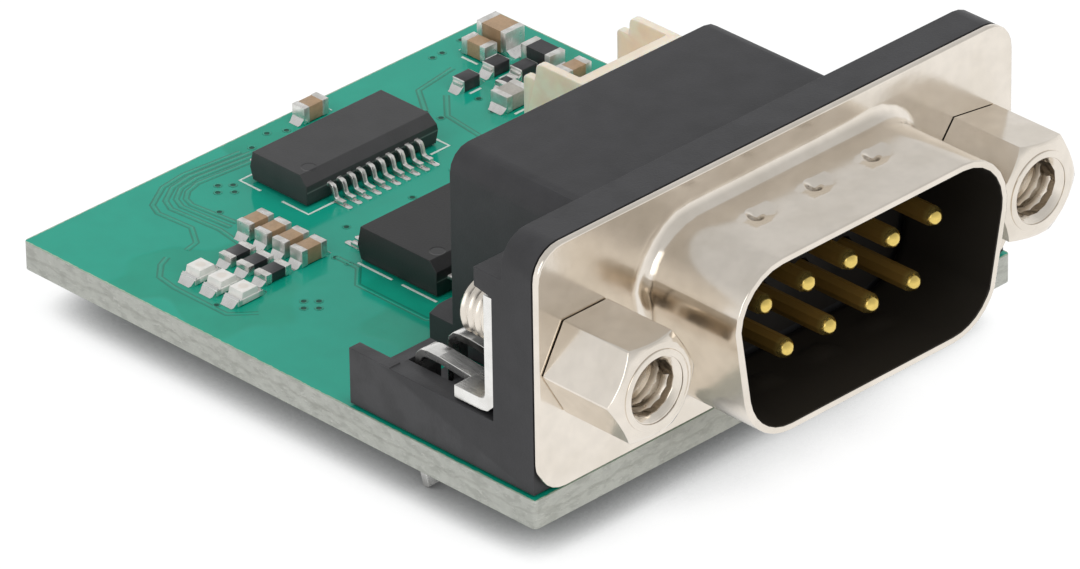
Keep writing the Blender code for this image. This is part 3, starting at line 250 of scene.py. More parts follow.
class Graph:
    """A tree of shader nodes."""

    def __init__(self, tree):
        self.tree = tree

    def add(self, kind, settings=None, sockets=None, output=0):
        """Adds a node: its settings first, then the values or links of its sockets."""
        node = self.tree.nodes.new(kind)
        for name, value in (settings or {}).items():
            setattr(node, name, value)
        for name, value in (sockets or {}).items():
            self.join(node.inputs[name], value)
        return Wire(self, node.outputs[output])

    def join(self, socket, value):
        if isinstance(value, Wire):
            self.tree.links.new(value.socket, socket)
        elif socket.type == "RGBA":
            socket.default_value = (*value, 1.0)
        else:
            socket.default_value = value

    def maths(self, operation, *values):
        return self.add("ShaderNodeMath", {"operation": operation}, dict(enumerate(values)))

    def split(self, vector):
        """The three numbers of a vector."""
        node = self.add("ShaderNodeSeparateXYZ", None, {"Vector": vector}).socket.node
        return [Wire(self, output) for output in node.outputs]

    def seen(self):
        """1 where the camera, a reflection or a clear body shows the surface, 0 where it only gives light."""
        kinds = ("Camera", "Glossy", "Transmission")
        camera, glossy, clear = (self.add("ShaderNodeLightPath", output=f"Is {kind} Ray") for kind in kinds)
        return self.maths("MAXIMUM", self.maths("MAXIMUM", camera, glossy), clear)


class Finish(Graph):
    """One material: a Principled shader and the nodes that feed it. Places are in millimetres."""

    def __init__(self, name, constants=None):
        self.material = bpy.data.materials.new(name)
        self.material.use_nodes = True
        super().__init__(self.material.node_tree)
        self.shader = self.tree.nodes["Principled BSDF"]
        self.feed(constants or {})
        place = self.add("ShaderNodeTexCoord", output="Object")
        self.place = self.add("ShaderNodeVectorMath", {"operation": "SCALE"}, {0: place, "Scale": 1 / MM})
        self.x, self.y, self.z = self.split(self.place)

    def feed(self, sockets):
        """Sets the shader's own sockets, to a constant or a link."""
        for name, value in sockets.items():
            self.join(self.shader.inputs[name], value)
        return self

    def surface(self, colour, rough, relief, others=None):
        """What changes over the surface; the colour and the relief are kept for a finish built on this one."""
        self.colour = colour
        self.relief = relief
        return self.feed({"Base Color": colour, "Roughness": rough, "Normal": relief, **(others or {})})

    def rise(self, value, low, high):
        """0 below low, 1 above high, with soft ends."""
        return self.add(
            "ShaderNodeMapRange",
            {"interpolation_type": "SMOOTHSTEP"},
            {"Value": value, "From Min": low, "From Max": high},
        )

    def mix(self, factor, first, second):
        return self.add("ShaderNodeMix", {"data_type": "RGBA"}, {0: factor, 6: first, 7: second}, 2)

    def apart(self, along, across):
        """The distance that two lengths at right angles give."""
        return self.maths("SQRT", along * along + across * across)

    def stretched(self, x, y, z):
        return self.add("ShaderNodeVectorMath", {"operation": "MULTIPLY"}, {0: self.place, 1: (x, y, z)})

    def noise(self, scale, detail=2.0, roughness=0.5, place=None):
        """Cloudy pattern about 0.5; scale is in features per millimetre."""
        sockets = {"Vector": place or self.place, "Scale": scale, "Detail": detail, "Roughness": roughness}
        return self.add("ShaderNodeTexNoise", None, sockets, "Fac")

    def shades(self, base, amount, scale, detail=3.0):
        """The base colour, lighter and darker in clouds by the amount."""
        dark = tuple(value * (1 - amount) for value in base)
        light = tuple(min(1.0, value * (1 + amount)) for value in base)
        return self.mix(self.rise(self.noise(scale, detail), 0.3, 0.7), dark, light)

    def bump(self, height, depth, strength=1.0, below=None):
        """Relief of a depth in millimetres, on top of the relief below."""
        sockets = {"Height": height, "Strength": strength, "Distance": depth * MM}
        if below is not None:
            sockets["Normal"] = below
        return self.add("ShaderNodeBump", None, sockets)

    def geometry(self, output):
        return self.add("ShaderNodeNewGeometry", output=output)


def mask_finish(settings):
    """Solder mask over copper and laminate on both faces, and the pale cut edge round them."""
    finish = Finish("solder_mask_finish", {"IOR": 1.45, "Specular IOR Level": 0.35})
    low = BOARD_LOW / MM
    high = BOARD_HIGH / MM
    along = (high.y - low.y) / 2 - abs(finish.y - (high.y + low.y) / 2)
    side = finish.maths("MINIMUM", high.x - abs(finish.x), along)
    ragged = side + (finish.noise(3.0, 4.0) - 0.5) * 0.14
    margin = 1 - finish.rise(ragged, 0.05, 0.1)
    cut = (finish.z < high.z - 0.02) * (finish.z > low.z + 0.02)
    # Copper under the mask: poured areas with bare lanes between them
    pour = finish.rise(finish.noise(0.16, 1.0), 0.46, 0.5)
    bare = finish.shades(settings.mask, 0.05, 0.5)
    mask = finish.mix(pour, bare, finish.shades(settings.mask_on_copper, 0.04, 0.4))
    mask = finish.mix(margin, mask, finish.shades(tint(168, 186, 166), 0.08, 4.0))
    # Routed edge: pale resin, torn glass bundles in layers and darker lines where the layers meet
    layered = finish.stretched(1.0, 1.0, 2.4)
    bundles = finish.noise(1.1, 3.0, 0.55, layered)
    torn = finish.rise(bundles, 0.46, 0.64)
    edge = finish.mix(torn * 0.6, finish.shades(settings.laminate, 0.05, 1.5), tint(184, 186, 178))
    flecks = finish.rise(finish.noise(3.0, 3.0, 0.6, layered), 0.54, 0.7)
    edge = finish.mix(flecks * 0.6, edge, tint(236, 237, 230))
    seam = abs(finish.z - (low.z + high.z) / 2 + (finish.noise(0.8) - 0.5) * 0.7)
    edge = finish.mix((1 - finish.rise(seam, 0.02, 0.12)) * 0.22, edge, tint(150, 150, 140))
    relief = finish.bump(finish.noise(0.9, 2.0), 0.006, 0.5)
    relief = finish.bump(pour, 0.012, 0.5, relief)
    relief = finish.bump((bundles + flecks * 0.5) * cut, 0.06, 0.7, relief)
    rough = finish.maths("MAXIMUM", cut, margin)
    return finish.surface(
        finish.mix(cut, mask, edge),
        0.09 + 0.05 * finish.noise(0.8, 3.0) + rough * 0.55,
        relief,
    )


def nickel_finish(settings, name, brushed=(1.0, 1.0, 1.0)):
    """Warm nickel plate with faint drawing marks and fingerprints."""
    finish = Finish(name, {"Metallic": 1.0})
    marks = finish.noise(6.0, 4.0, 0.6, finish.stretched(*brushed))
    smudge = finish.rise(finish.noise(0.35, 3.0), 0.42, 0.68)
    base = finish.shades(settings.nickel, 0.03, 1.2)
    base = finish.mix(smudge * 0.35, base, tint(212, 203, 189))
    relief = finish.bump(marks, 0.002, 0.5, finish.bump(finish.noise(0.35, 2.0), 0.05, 0.5))
    return finish.surface(base, 0.12 + smudge * 0.08 + marks * 0.06, relief)


def shell_finish(settings):
    """Nickel plate outside; inside the D a dark colour is painted in as the shade round the contacts, a
    painted shade.
    """
    finish = nickel_finish(settings, "shell_nickel_finish", (1.0, 0.25, 1.0))
    height = middle("contact_insulator").z / MM
    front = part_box("front_shell")[0].y / MM
    across, _, upward = finish.split(finish.geometry("Normal"))
    outward = across * finish.x + upward * (finish.z - height)
    tube_depth, tube_side = 5.9, 9.4
    # Mask of the inside of the D, where the dark colour and duller metal are painted shade
    inside = (outward < -0.4) * (finish.y < front + tube_depth) * (finish.y > front + 0.02)
    inside = inside * (abs(finish.x) < tube_side)
    # A punch mark at the rear of each of the three dimples on the upper side
    half_pitch, dimple_rear = 1.88, 3.75
    aside = abs(abs(finish.x) - half_pitch) - half_pitch
    reach = finish.apart(aside, finish.y - (front + dimple_rear))
    punch = (1 - finish.rise(reach, 0.05, 0.5)) * (finish.z > height) * (1 - inside)
    return finish.surface(
        finish.mix(inside, finish.colour, settings.cavity_painted_shade),
        0.14 + inside * 0.36 + 0.06 * finish.noise(2.0) - punch * 0.08,
        finish.bump(punch * -1.0, 0.22, 1.0, finish.relief),
        {"Metallic": 1 - inside * 0.6},
    )


def standoff_finish(settings):
    """Nickel plate, with fine circular marks on the turned end."""
    finish = nickel_finish(settings, "standoff_nickel_finish", (1.0, 3.0, 1.0))
    centre = middle("hex_standoff_right") / MM
    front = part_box("hex_standoff_right")[0].y / MM
    reach = finish.apart(abs(finish.x) - centre.x, finish.z - centre.z)
    end = finish.y < front + 0.1
    turned = finish.maths("SINE", reach * 48) * end
    relief = finish.bump(turned, 0.002, 0.6, finish.relief)
    return finish.surface(finish.colour, 0.14 + 0.06 * finish.noise(2.0) + end * 0.03, relief)


def thread_finish(settings):
    """Nickel plate on a thread, with painted shade: darker down in its root, plain nickel along its crest."""
    finish = nickel_finish(settings, "thread_nickel_finish", (1.0, 3.0, 1.0))
    # Painted shade: the root of the thread is darkened, found from the surface's pointiness
    crest = finish.rise(finish.geometry("Pointiness"), 0.44, 0.58)
    base = finish.mix(crest, tint(128, 121, 110), finish.colour)
    return finish.surface(base, 0.24 + 0.08 * finish.noise(2.0), finish.relief)


def gold_finish(settings):
    """Gold plate, brightest at the rounded tips, duller and painted darker towards the insulator as the shade
    deep in the shell.
    """
    finish = Finish("gold_finish", {"Metallic": 1.0})
    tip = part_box("contact_pin_1")[0].y / MM
    # Painted shade: deeper into the shell the gold is made darker and less metallic
    depth = finish.rise(finish.y, tip + 0.12, tip + 0.75)
    base = finish.mix(depth, finish.shades(settings.gold, 0.05, 3.0), tint(142, 110, 52))
    turned = finish.noise(8.0, 2.0, 0.5, finish.stretched(1.0, 4.0, 1.0))
    return finish.surface(
        base,
        0.16 + depth * 0.14 + turned * 0.08,
        finish.bump(turned, 0.004, 0.5),
        {"Metallic": 1 - depth * 0.6},
    )


def tin_finish(settings, name="tin_finish", drawn=(1.0, 0.5, 1.0)):
    """Bright tin plate with faint flow marks and dull patches."""
    finish = Finish(name, {"Metallic": 1.0})
    flow = finish.noise(2.2, 3.0, 0.55, finish.stretched(*drawn))
    dull = finish.rise(finish.noise(0.7, 2.0), 0.42, 0.75)
    base = finish.mix(dull * 0.35, finish.shades(settings.tin, 0.03, 1.5), tint(196, 193, 186))
    return finish.surface(
        base,
        0.18 + dull * 0.14 + flow * 0.1,
        finish.bump(flow, 0.01, 0.6),
    )


def solder_finish(settings):
    """Solder: bright, with a slightly frosted skin."""
    finish = Finish("solder_finish", {"Metallic": 1.0})
    frost = finish.noise(5.0, 3.0, 0.6)
    dull = finish.rise(finish.noise(1.6, 2.0), 0.4, 0.7)
    return finish.surface(
        finish.mix(dull * 0.35, settings.solder, tint(196, 195, 191)),
        0.14 + dull * 0.12 + frost * 0.08,
        finish.bump(frost, 0.01, 0.5),
    )


def moulding_finish(name, shade, grain=1.0, roughness=0.5, gleam=0.35, clouds=0.09):
    """A moulded body: fine spark-eroded grain, faint flow clouds and a painted highlight that makes its edges
    lighter.
    """
    finish = Finish(name, {"IOR": 1.5, "Specular IOR Level": gleam})
    fine = finish.noise(9.0, 3.0, 0.6)
    cloud = finish.noise(0.6, 3.0)
    # Painted highlight: sharp edges are made lighter in patches and a little glossier
    edge_highlight = finish.rise(finish.geometry("Pointiness"), 0.52, 0.6)
    lighter = tuple(min(1.0, value * (1 + 7.8 * clouds) + 0.01) for value in shade)
    base = finish.shades(shade, clouds, 0.7)
    base = finish.mix(edge_highlight * 0.5 * finish.rise(cloud, 0.35, 0.6), base, lighter)
    relief = finish.bump(fine, 0.014 * grain, 0.7, finish.bump(cloud, 0.05 * grain, 0.25))
    return finish.surface(
        base,
        roughness - 0.08 + fine * 0.12 + cloud * 0.06 - edge_highlight * 0.1,
        relief,
    )


def chip_finish(settings, metals, node, body_width, mark, level):
    """Moulded chip body with a moulded dot near its first lead, and tinned leads beside it."""
    # The level paints light and shade: one epoxy is made lighter on one chip and darker on the other
    epoxy = tuple(value * level for value in settings.epoxy)
    finish = Finish(f"{node}_finish", {"IOR": 1.5, "Specular IOR Level": 0.5})
    centre = middle(node) / MM
    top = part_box(node)[1].z / MM
    lead = finish.rise(abs(finish.y - centre.y), body_width / 2 - 0.01, body_width / 2 + 0.02)
    reach = finish.apart(finish.x - (centre.x + mark[0]), finish.y - (centre.y + mark[1]))
    dot = (1 - finish.rise(reach, 0.32, 0.42)) * (finish.z > top - 0.06)
    body = finish.shades(epoxy, 0.08, 0.8)
    polished = finish.mix(dot * 0.7, body, tint(40, 40, 42))
    wash = finish.rise(finish.noise(2.0, 3.0), 0.35, 0.65)
    tinned = finish.mix(wash * 0.4, metals.tin, tint(178, 176, 170))
    fine = finish.noise(9.0, 3.0, 0.6)
    relief = finish.bump(fine * (1 - dot) * (1 - lead), 0.012, 0.7)
    return finish.surface(
        finish.mix(lead, polished, tinned),
        0.44 + fine * 0.1 - dot * 0.14 - lead * 0.2 + wash * lead * 0.1,
        finish.bump(dot * -1.0, 0.05, 0.8, relief),
        {"Metallic": lead},
    )


def terminal_finish(node, shade, metals, cap, gloss):
    """A small part's body between two tinned ends, each as long as the cap."""
    finish = Finish(f"{node}_finish", {"IOR": 1.52})
    centre, half = spread(node)
    along_y = lies_along_y(node)
    reach = abs(finish.y - centre.y) if along_y else abs(finish.x - centre.x)
    extent = max(half.x, half.y)
    ragged = reach + (finish.noise(4.0, 2.0) - 0.5) * 0.05
    end = finish.rise(ragged, extent - cap - 0.015, extent - cap + 0.015)
    speckle = finish.noise(7.0, 3.0, 0.6)
    darker = [value * 0.7 for value in shade]
    body = finish.mix(finish.rise(speckle, 0.4, 0.7) * 0.35, finish.shades(shade, 0.08, 2.0), darker)
    wash = finish.rise(finish.noise(2.5, 3.0), 0.35, 0.65)
    tinned = finish.mix(wash * 0.45, metals.tin, tint(188, 184, 176))
    return finish.surface(
        finish.mix(end, body, tinned),
        gloss + speckle * 0.1 * (1 - end) - end * 0.08 + wash * end * 0.16,
        finish.bump(speckle * (1 - end * 0.5), 0.012, 0.6),
        {"Metallic": end * 0.85},
    )


def led_finish(node, parts, metals):
    """White resin lens on a white carrier with tinned ends and a faint warm die below the lens."""
    finish = Finish(f"{node}_finish", {"IOR": 1.5, "Coat Roughness": 0.1})
    centre, half = spread(node)
    foot = centre.z - half.z
    aside = finish.x - centre.x
    lens_level = finish.rise(finish.z, foot + 0.29, foot + 0.31)
    end = finish.rise(abs(aside), half.x - 0.3, half.x - 0.26) * (1 - lens_level)
    die = (1 - finish.rise(finish.apart(aside, finish.y - centre.y), 0.16, 0.34)) * lens_level
    resin = finish.shades(parts.resin, 0.04, 2.0)
    resin = finish.mix(die * 0.35, resin, tint(206, 190, 170))
    cloud = finish.noise(3.0, 3.0)
    tinned = finish.mix(finish.rise(cloud, 0.4, 0.65) * 0.4, metals.tin, tint(196, 192, 184))
    return finish.surface(
        finish.mix(end, resin, tinned),
        0.3 + cloud * 0.14,
        finish.bump(cloud, 0.02, 0.5),
        {"Metallic": end * 0.7, "Coat Weight": lens_level * 0.4},
    )


def ink_finish(settings):
    """Printed ink, slightly broken up at its surface."""
    finish = Finish("ink_finish", {"IOR": 1.45})
    grain = finish.noise(6.0, 3.0, 0.6)
    worn = finish.rise(grain, 0.6, 0.75)
    ink = finish.shades(settings.ink, 0.03, 2.0)
    return finish.surface(
        finish.mix(worn * 0.35, ink, tint(178, 208, 198)),
        0.5 + grain * 0.15,
        finish.bump(grain, 0.01, 0.5),
    )


def track_finish(name, shade):
    """Mask on and beside a raised track."""
    finish = Finish(name, {"IOR": 1.45})
    cloud = finish.noise(1.5, 3.0)
    return finish.surface(
        finish.shades(shade, 0.06, 0.6),
        0.12 + cloud * 0.08,
        finish.bump(cloud, 0.006, 0.5),
    )


def via_finish(settings):
    """A via: a rim under the mask round a dark filled bore."""
    finish = Finish("via_finish", {"IOR": 1.45})
    top = BOARD_HIGH.z / MM
    bore = 1 - finish.rise(finish.z, top + 0.008, top + 0.015)
    up = finish.rise(finish.split(finish.geometry("Normal"))[2], 0.9, 0.97)
    cloud = finish.noise(4.0, 2.0)
    return finish.surface(
        finish.mix(bore * up, finish.shades(settings.mask, 0.05, 2.0), tint(8, 74, 60)),
        0.2 + cloud * 0.1 + bore * 0.3,
        finish.bump(cloud, 0.006, 0.5),
    )


def fresh():
    """Leaves edit mode and deselects everything, so that an operator acts on the new piece alone."""
    if bpy.context.object and bpy.context.object.mode != "OBJECT":
        bpy.ops.object.mode_set(mode="OBJECT")
    bpy.ops.object.select_all(action="DESELECT")


def picked(piece):
    """Selects one piece alone and makes it the active one."""
    fresh()
    piece.select_set(True)
    bpy.context.view_layer.objects.active = piece


def editing(piece):
    picked(piece)
    bpy.ops.object.mode_set(mode="EDIT")
    bpy.ops.mesh.select_all(action="SELECT")


def done_editing():
    bpy.ops.object.mode_set(mode="OBJECT")


def named(name, piece=None):
    """Names a piece and its mesh alike; a new primitive's place goes into its mesh."""
    if piece is None:
        piece = bpy.context.object
        bpy.ops.object.transform_apply(location=True, rotation=True, scale=True)
    piece.name = name
    piece.data.name = name
    return piece


def block(name, size, place):
    """A box of a size about a place."""
    fresh()
    bpy.ops.mesh.primitive_cube_add(size=1.0, location=place, scale=size)
    return named(name)


def disc(name, diameter, place, sides, tilt=0.0):
    """A flat disc that faces up, or tilted about the X axis."""
    fresh()
    bpy.ops.mesh.primitive_circle_add(
        vertices=sides, radius=diameter / 2, fill_type="NGON", location=place, rotation=(tilt, 0, 0)
    )
    return named(name)


def choose(piece, kind, test):
    """In edit mode, selects the faces, edges or verts whose middle and direction pass the test."""
    bpy.ops.mesh.select_mode(type=kind)
    bpy.ops.mesh.select_all(action="DESELECT")
    mesh = bmesh.from_edit_mesh(piece.data)
    mesh.normal_update()
    for element in {"FACE": mesh.faces, "EDGE": mesh.edges, "VERT": mesh.verts}[kind]:
        if kind == "FACE":
            element.select = test(element.calc_center_median(), element.normal)
        elif kind == "EDGE":
            start, end = (vert.co for vert in element.verts)
            element.select = test((start + end) / 2, end - start)
        else:
            element.select = test(element.co, element.normal)
    mesh.select_flush_mode()
    bmesh.update_edit_mesh(piece.data)


def with_modifier(piece, kind, **settings):
    picked(piece)
    modifier = piece.modifiers.new(kind.title(), kind)
    for name, value in settings.items():
        setattr(modifier, name, value)
    bpy.ops.object.modifier_apply(modifier=modifier.name)


def about(centre, change):
    """A change of shape or a turn that leaves its centre where it is."""
    return Matrix.Translation(centre) @ change @ Matrix.Translation(-centre)


def turned(centre, turn):
    """A turn about a vertical axis through the centre."""
    return about(centre, Matrix.Rotation(turn, 4, "Z"))


def copied(piece, name, offset, turn=0.0, centre=None):
    """A copy with its own mesh, turned about a vertical axis and moved."""
    twin = piece.copy()
    twin.data = piece.data.copy()
    bpy.context.scene.collection.objects.link(twin)
    spin = turned(centre or Vector(), turn)
    twin.data.transform(Matrix.Translation(offset) @ spin)
    return named(name, twin)


def joined(pieces, name):
    picked(pieces[0])
    for piece in pieces:
        piece.select_set(True)
    bpy.ops.object.join()
    return named(name, bpy.context.object)


def settled(piece, finish, smooth=35):
    """Gives a finished piece its material, its smooth shading and its ride."""
    picked(piece)
    bpy.ops.object.shade_smooth_by_angle(angle=radians(smooth))
    piece.data.materials.clear()
    piece.data.materials.append(finish.material)
    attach(piece, "root")
    return piece


def dressed(node, finish, rounding=0.05, smooth=35):
    """Stands for a solid: its triangles merged to clean faces, its edges rounded and its curves smooth."""
    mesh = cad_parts[node].data.copy()
    mesh.name = f"{node}_dressed"
    piece = bpy.data.objects.new(mesh.name, mesh)
    bpy.context.scene.collection.objects.link(piece)
    editing(piece)
    bpy.ops.mesh.remove_doubles(threshold=0.0005 * MM)
    bpy.ops.mesh.dissolve_limited(angle_limit=radians(0.6))
    done_editing()
    if rounding:
        with_modifier(
            piece,
            "BEVEL",
            width=rounding * MM,
            segments=2,
            limit_method="ANGLE",
            angle_limit=radians(smooth + 3),
            use_clamp_overlap=True,
            miter_outer="MITER_ARC",
        )
    settled(piece, finish, smooth)
    with_modifier(piece, "WEIGHTED_NORMAL", keep_sharp=True)
    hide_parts(node)
    return piece


def bead(name, points, width, height, level):
    """A flattened bead along a path on the board: a corner pulled along the path, then rounded."""
    origin = board_point(*points[0], level)
    fresh()
    bpy.ops.mesh.primitive_plane_add(size=width, location=origin)
    piece = named(name)
    editing(piece)
    bpy.ops.mesh.merge(type="CENTER")
    for start, end in zip(points, points[1:]):
        step = board_point(*end, level) - board_point(*start, level)
        bpy.ops.mesh.extrude_vertices_move(TRANSFORM_OT_translate={"value": step})
    done_editing()
    picked(piece)
    bpy.ops.object.convert(target="CURVE")
    line = bpy.context.object.data
    line.dimensions = "3D"
    line.bevel_depth = width / 2
    line.bevel_resolution = 1
    line.use_fill_caps = True
    bpy.ops.object.convert(target="MESH")
    piece = bpy.context.object
    editing(piece)
    bpy.ops.transform.resize(value=(1.0, 1.0, height / width), center_override=origin)
    done_editing()
    return piece


class MODULE_OT_stage(bpy.types.Operator):
    """Pale floor, soft lamps, white surroundings and the camera"""

    bl_idname = "module.stage"
    bl_label = "Stage"

    def execute(self, context):
        settings = context.scene.module_stage
        self.make_floor(settings)
        self.make_world(settings)
        self.make_lamps(settings)
        self.make_camera(context, settings)
        context.scene.view_settings.view_transform = "Standard"
        return {"FINISHED"}

    def make_floor(self, settings):
        """A pale floor that is lighter where it is seen than the light that it gives, with a painted shadow
        close to the module.
        """
        fresh()
        bpy.ops.mesh.primitive_plane_add(size=6.0, location=(0, 0, -0.02 * MM))
        floor = named("floor")
        matt = {"Roughness": 0.9, "Specular IOR Level": 0.0, "Emission Strength": 1.0}
        finish = Finish("floor_finish", matt)
        seen = finish.seen()
        # Where it is seen the floor glows white all round; close to the module ambient occlusion dims the glow
        # into a painted shadow, beside the real shadow in its lit part
        reach = {"Distance": settings.painted_shadow_reach}
        painted_shadow_clearance = finish.add("ShaderNodeAmbientOcclusion", {"samples": 16}, reach, "AO")
        glow = settings.floor_glow * (0.07 + 0.93 * finish.rise(painted_shadow_clearance, 0.12, 0.66))
        finish.feed(
            {
                "Base Color": finish.mix(seen, settings.floor_bounce, settings.floor_colour),
                "Emission Color": finish.mix(seen * glow, (0.0, 0.0, 0.0), (1.0, 1.0, 1.0)),
            }
        )
        floor.data.materials.append(finish.material)

    def make_world(self, settings):
        """Even light from all round; where it is seen it is white low down and greyer overhead."""
        world = bpy.data.worlds.new("surroundings")
        bpy.context.scene.world = world
        world.use_nodes = True
        graph = Graph(world.node_tree)
        place = graph.add("ShaderNodeTexCoord", output="Generated")
        height = graph.split(place)[2]
        limits = {"From Min": 0.05, "From Max": 0.6, "To Min": 1.0, "To Max": settings.ceiling_level}
        ceiling = graph.add("ShaderNodeMapRange", None, {"Value": height, **limits})
        levels = {"Value": graph.seen(), "To Min": settings.sky_level, "To Max": ceiling}
        shade = world.node_tree.nodes["Background"]
        graph.join(shade.inputs["Color"], (1.0, 1.0, 1.0))
        graph.join(shade.inputs["Strength"], graph.add("ShaderNodeMapRange", None, levels))

    def make_lamps(self, settings):
        """Three broad lamps that aim at the module; only the left one shows in the plating."""
        # Name, power, place, size and whether reflections show it
        rows = (
            ("key_lamp", settings.key_power, (0.15, -0.12, 0.75), (0.6, 0.5), False),
            ("front_lamp", settings.fill_power, (0.10, -0.80, 0.42), (0.5, 0.4), False),
            ("left_lamp", settings.fill_power, (-0.80, -0.05, 0.42), (0.75, 0.6), True),
        )
        for name, watts, place, size, gleams in rows:
            data = bpy.data.lights.new(name, "AREA")
            data.shape = "RECTANGLE"
            data.size, data.size_y = size
            data.energy = watts
            lamp = bpy.data.objects.new(name, data)
            bpy.context.scene.collection.objects.link(lamp)
            lamp.location = place
            lamp.visible_glossy = gleams
            aim = Vector((0, 0, 0.005)) - Vector(place)
            lamp.rotation_euler = aim.to_track_quat("-Z", "Y").to_euler()

    def make_camera(self, context, settings):
        data = bpy.data.cameras.new("camera")
        data.lens = settings.focal_length
        data.sensor_width = 36.0
        data.sensor_fit = "HORIZONTAL"
        data.clip_start = 0.05
        data.clip_end = 20.0
        azimuth = settings.camera_azimuth
        elevation = settings.camera_elevation
        back = Vector((sin(azimuth) * cos(elevation), -cos(azimuth) * cos(elevation), sin(elevation)))
        right = Vector((0, 0, 1)).cross(back).normalized()
        up = back.cross(right)
        turn = Matrix((right, up, back)).transposed().to_4x4() @ Matrix.Rotation(settings.camera_roll, 4, "Z")
        camera = bpy.data.objects.new("camera", data)
        context.scene.collection.objects.link(camera)
        camera.matrix_world = Matrix.Translation(Vector(settings.camera_place)) @ turn
        context.scene.camera = camera


class MODULE_OT_connector(bpy.types.Operator):
    """Finishes of the shell, the housing, the insulator, the contacts, the locks and the standoffs"""

    bl_idname = "module.connector"
    bl_label = "Connector finishes"

    def execute(self, context):
        scene = context.scene
        metals = scene.module_metals
        mouldings = scene.module_mouldings
        nickel = standoff_finish(metals)
        tin = tin_finish(metals, "lock_finish", (3.0, 0.3, 0.3))
        gold = gold_finish(metals)
        housing = moulding_finish("housing_finish", mouldings.housing, 1.0, 0.52)
        dark = moulding_finish("insulator_finish", mouldings.insulator, 0.8, 0.5)
        dressed("front_shell", shell_finish(metals), 0.1)
        dressed("connector_housing", housing, 0.12)
        for side in ("left", "right"):
            dressed(f"hex_standoff_{side}", nickel, 0.07, 28)
            self.make_ring(scene.module_threads, side, nickel)
            dressed(f"board_lock_{side}", tin, 0.07)
            self.make_shade_web(mouldings, side, housing)
        for node in numbered("contact_pin", 9):
            dressed(node, gold, 0)
        insulator = dressed("contact_insulator", dark, 0.04)
        # A little larger than its solid, so that no light comes through round it
        snug = Matrix.Diagonal((1.007, 1.0, 1.014, 1.0))
        insulator.data.transform(about(middle("contact_insulator"), snug))
        self.make_seal(mouldings, dark)
        return {"FINISHED"}

    def make_seal(self, settings, finish):
        """A dark filling inside the insulator that closes the room round the contacts."""
        low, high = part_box("contact_insulator")
        size = (settings.seal_width, (high.y - low.y) * 0.6, settings.seal_height)
        seal = block("contact_seal", size, (low + high) / 2)
        editing(seal)
        choose(seal, "EDGE", lambda place, along: abs(place.x) > settings.seal_width * 0.45)
        bpy.ops.mesh.bevel(offset=0.4 * MM, segments=2)
        done_editing()
        settled(seal, finish)

    def make_ring(self, settings, side, finish):
        """The raised ring that is turned round the mouth of a standoff's bore."""
        mouth = middle(f"hex_standoff_{side}")
        mouth.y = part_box(f"hex_standoff_{side}")[0].y
        ring = disc(f"standoff_ring_{side}", settings.ring_radius * 2, mouth, 48, pi / 2)
        editing(ring)
        bpy.ops.mesh.inset(thickness=settings.ring_width)
        bpy.ops.mesh.delete(type="FACE")
        bpy.ops.mesh.select_all(action="SELECT")
        bpy.ops.mesh.extrude_region_move(TRANSFORM_OT_translate={"value": (0, -settings.ring_height, 0)})
        bpy.ops.mesh.select_all(action="SELECT")
        bpy.ops.mesh.normals_make_consistent(inside=False)
        rim = mouth.y - settings.ring_height * 0.85
        choose(ring, "EDGE", lambda place, along: place.y < rim and abs(along.y) < 0.01 * MM)
        bpy.ops.mesh.bevel(offset=0.04 * MM, segments=2)
        done_editing()
        settled(ring, finish, 50)

    def make_shade_web(self, settings, side, finish):
        """A thin web of the housing's moulding on the board, between the hood and the lock's prongs: a dark
        sheet where the board lies in shade, a painted shade.
        """
        lock = middle(f"board_lock_{side}")
        hood = 8.95 * MM * (-1 if side == "left" else 1)
        front = BOARD_LOW.y + settings.web_front
        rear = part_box(f"board_lock_{side}")[1].y + 2.0 * MM
        size = (abs(lock.x - hood), rear - front, settings.web)
        place = ((hood + lock.x) / 2, (front + rear) / 2, BOARD_HIGH.z + settings.web / 2)
        web = block(f"foot_web_{side}", size, place)
        editing(web)
        choose(web, "FACE", lambda place, normal: normal.z > 0.9)
        bpy.ops.mesh.inset(thickness=0.25 * MM)
        bpy.ops.transform.translate(value=(0, 0, 0.08 * MM))
        done_editing()
        settled(web, finish)


class MODULE_OT_header(bpy.types.Operator):
    """Finishes of the cream header and its pins"""

    bl_idname = "module.header"
    bl_label = "Header finishes"

    def execute(self, context):
        mouldings = context.scene.module_mouldings
        nylon = moulding_finish("shroud_finish", mouldings.shroud, 0.3, 0.6, 0.08, 0.03)
        depth = {"Subsurface Radius": (1.0, 0.75, 0.5), "Subsurface Scale": mouldings.nylon_depth}
        nylon.feed({"Subsurface Weight": 0.6, **depth})
        shroud = dressed("header_shroud", nylon, 0.06)
        self.lower_shoulders(mouldings, shroud)
        tin = tin_finish(context.scene.module_metals, "header_pin_finish")
        for node in numbered("header_pin", 4):
            self.shorten(mouldings, dressed(node, tin, 0.06))
        return {"FINISHED"}

    def lower_shoulders(self, settings, shroud):
        """Lets down the low rear end of each side wall."""
        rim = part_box("header_shroud")[1]
        start = rim.y - 0.86 * MM
        low, high = rim.z - 1.1 * MM, rim.z - 0.5 * MM
        editing(shroud)
        choose(shroud, "VERT", lambda place, normal: place.y > start and low < place.z < high)
        bpy.ops.transform.translate(value=(0, 0, -settings.shoulder_drop))
        done_editing()

    def shorten(self, settings, pin):
        """Ends a pin deep inside the shroud, with a blunt point."""
        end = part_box("header_shroud")[1].z - settings.pin_depth
        editing(pin)
        bpy.ops.mesh.bisect(plane_co=(0, 0, end), plane_no=(0, 0, 1), use_fill=True, clear_outer=True)
        choose(pin, "FACE", lambda place, normal: normal.z > 0.9 and place.z > end - 0.01 * MM)
        bpy.ops.mesh.inset(thickness=0.12 * MM)
        bpy.ops.transform.translate(value=(0, 0, 0.15 * MM))
        done_editing()


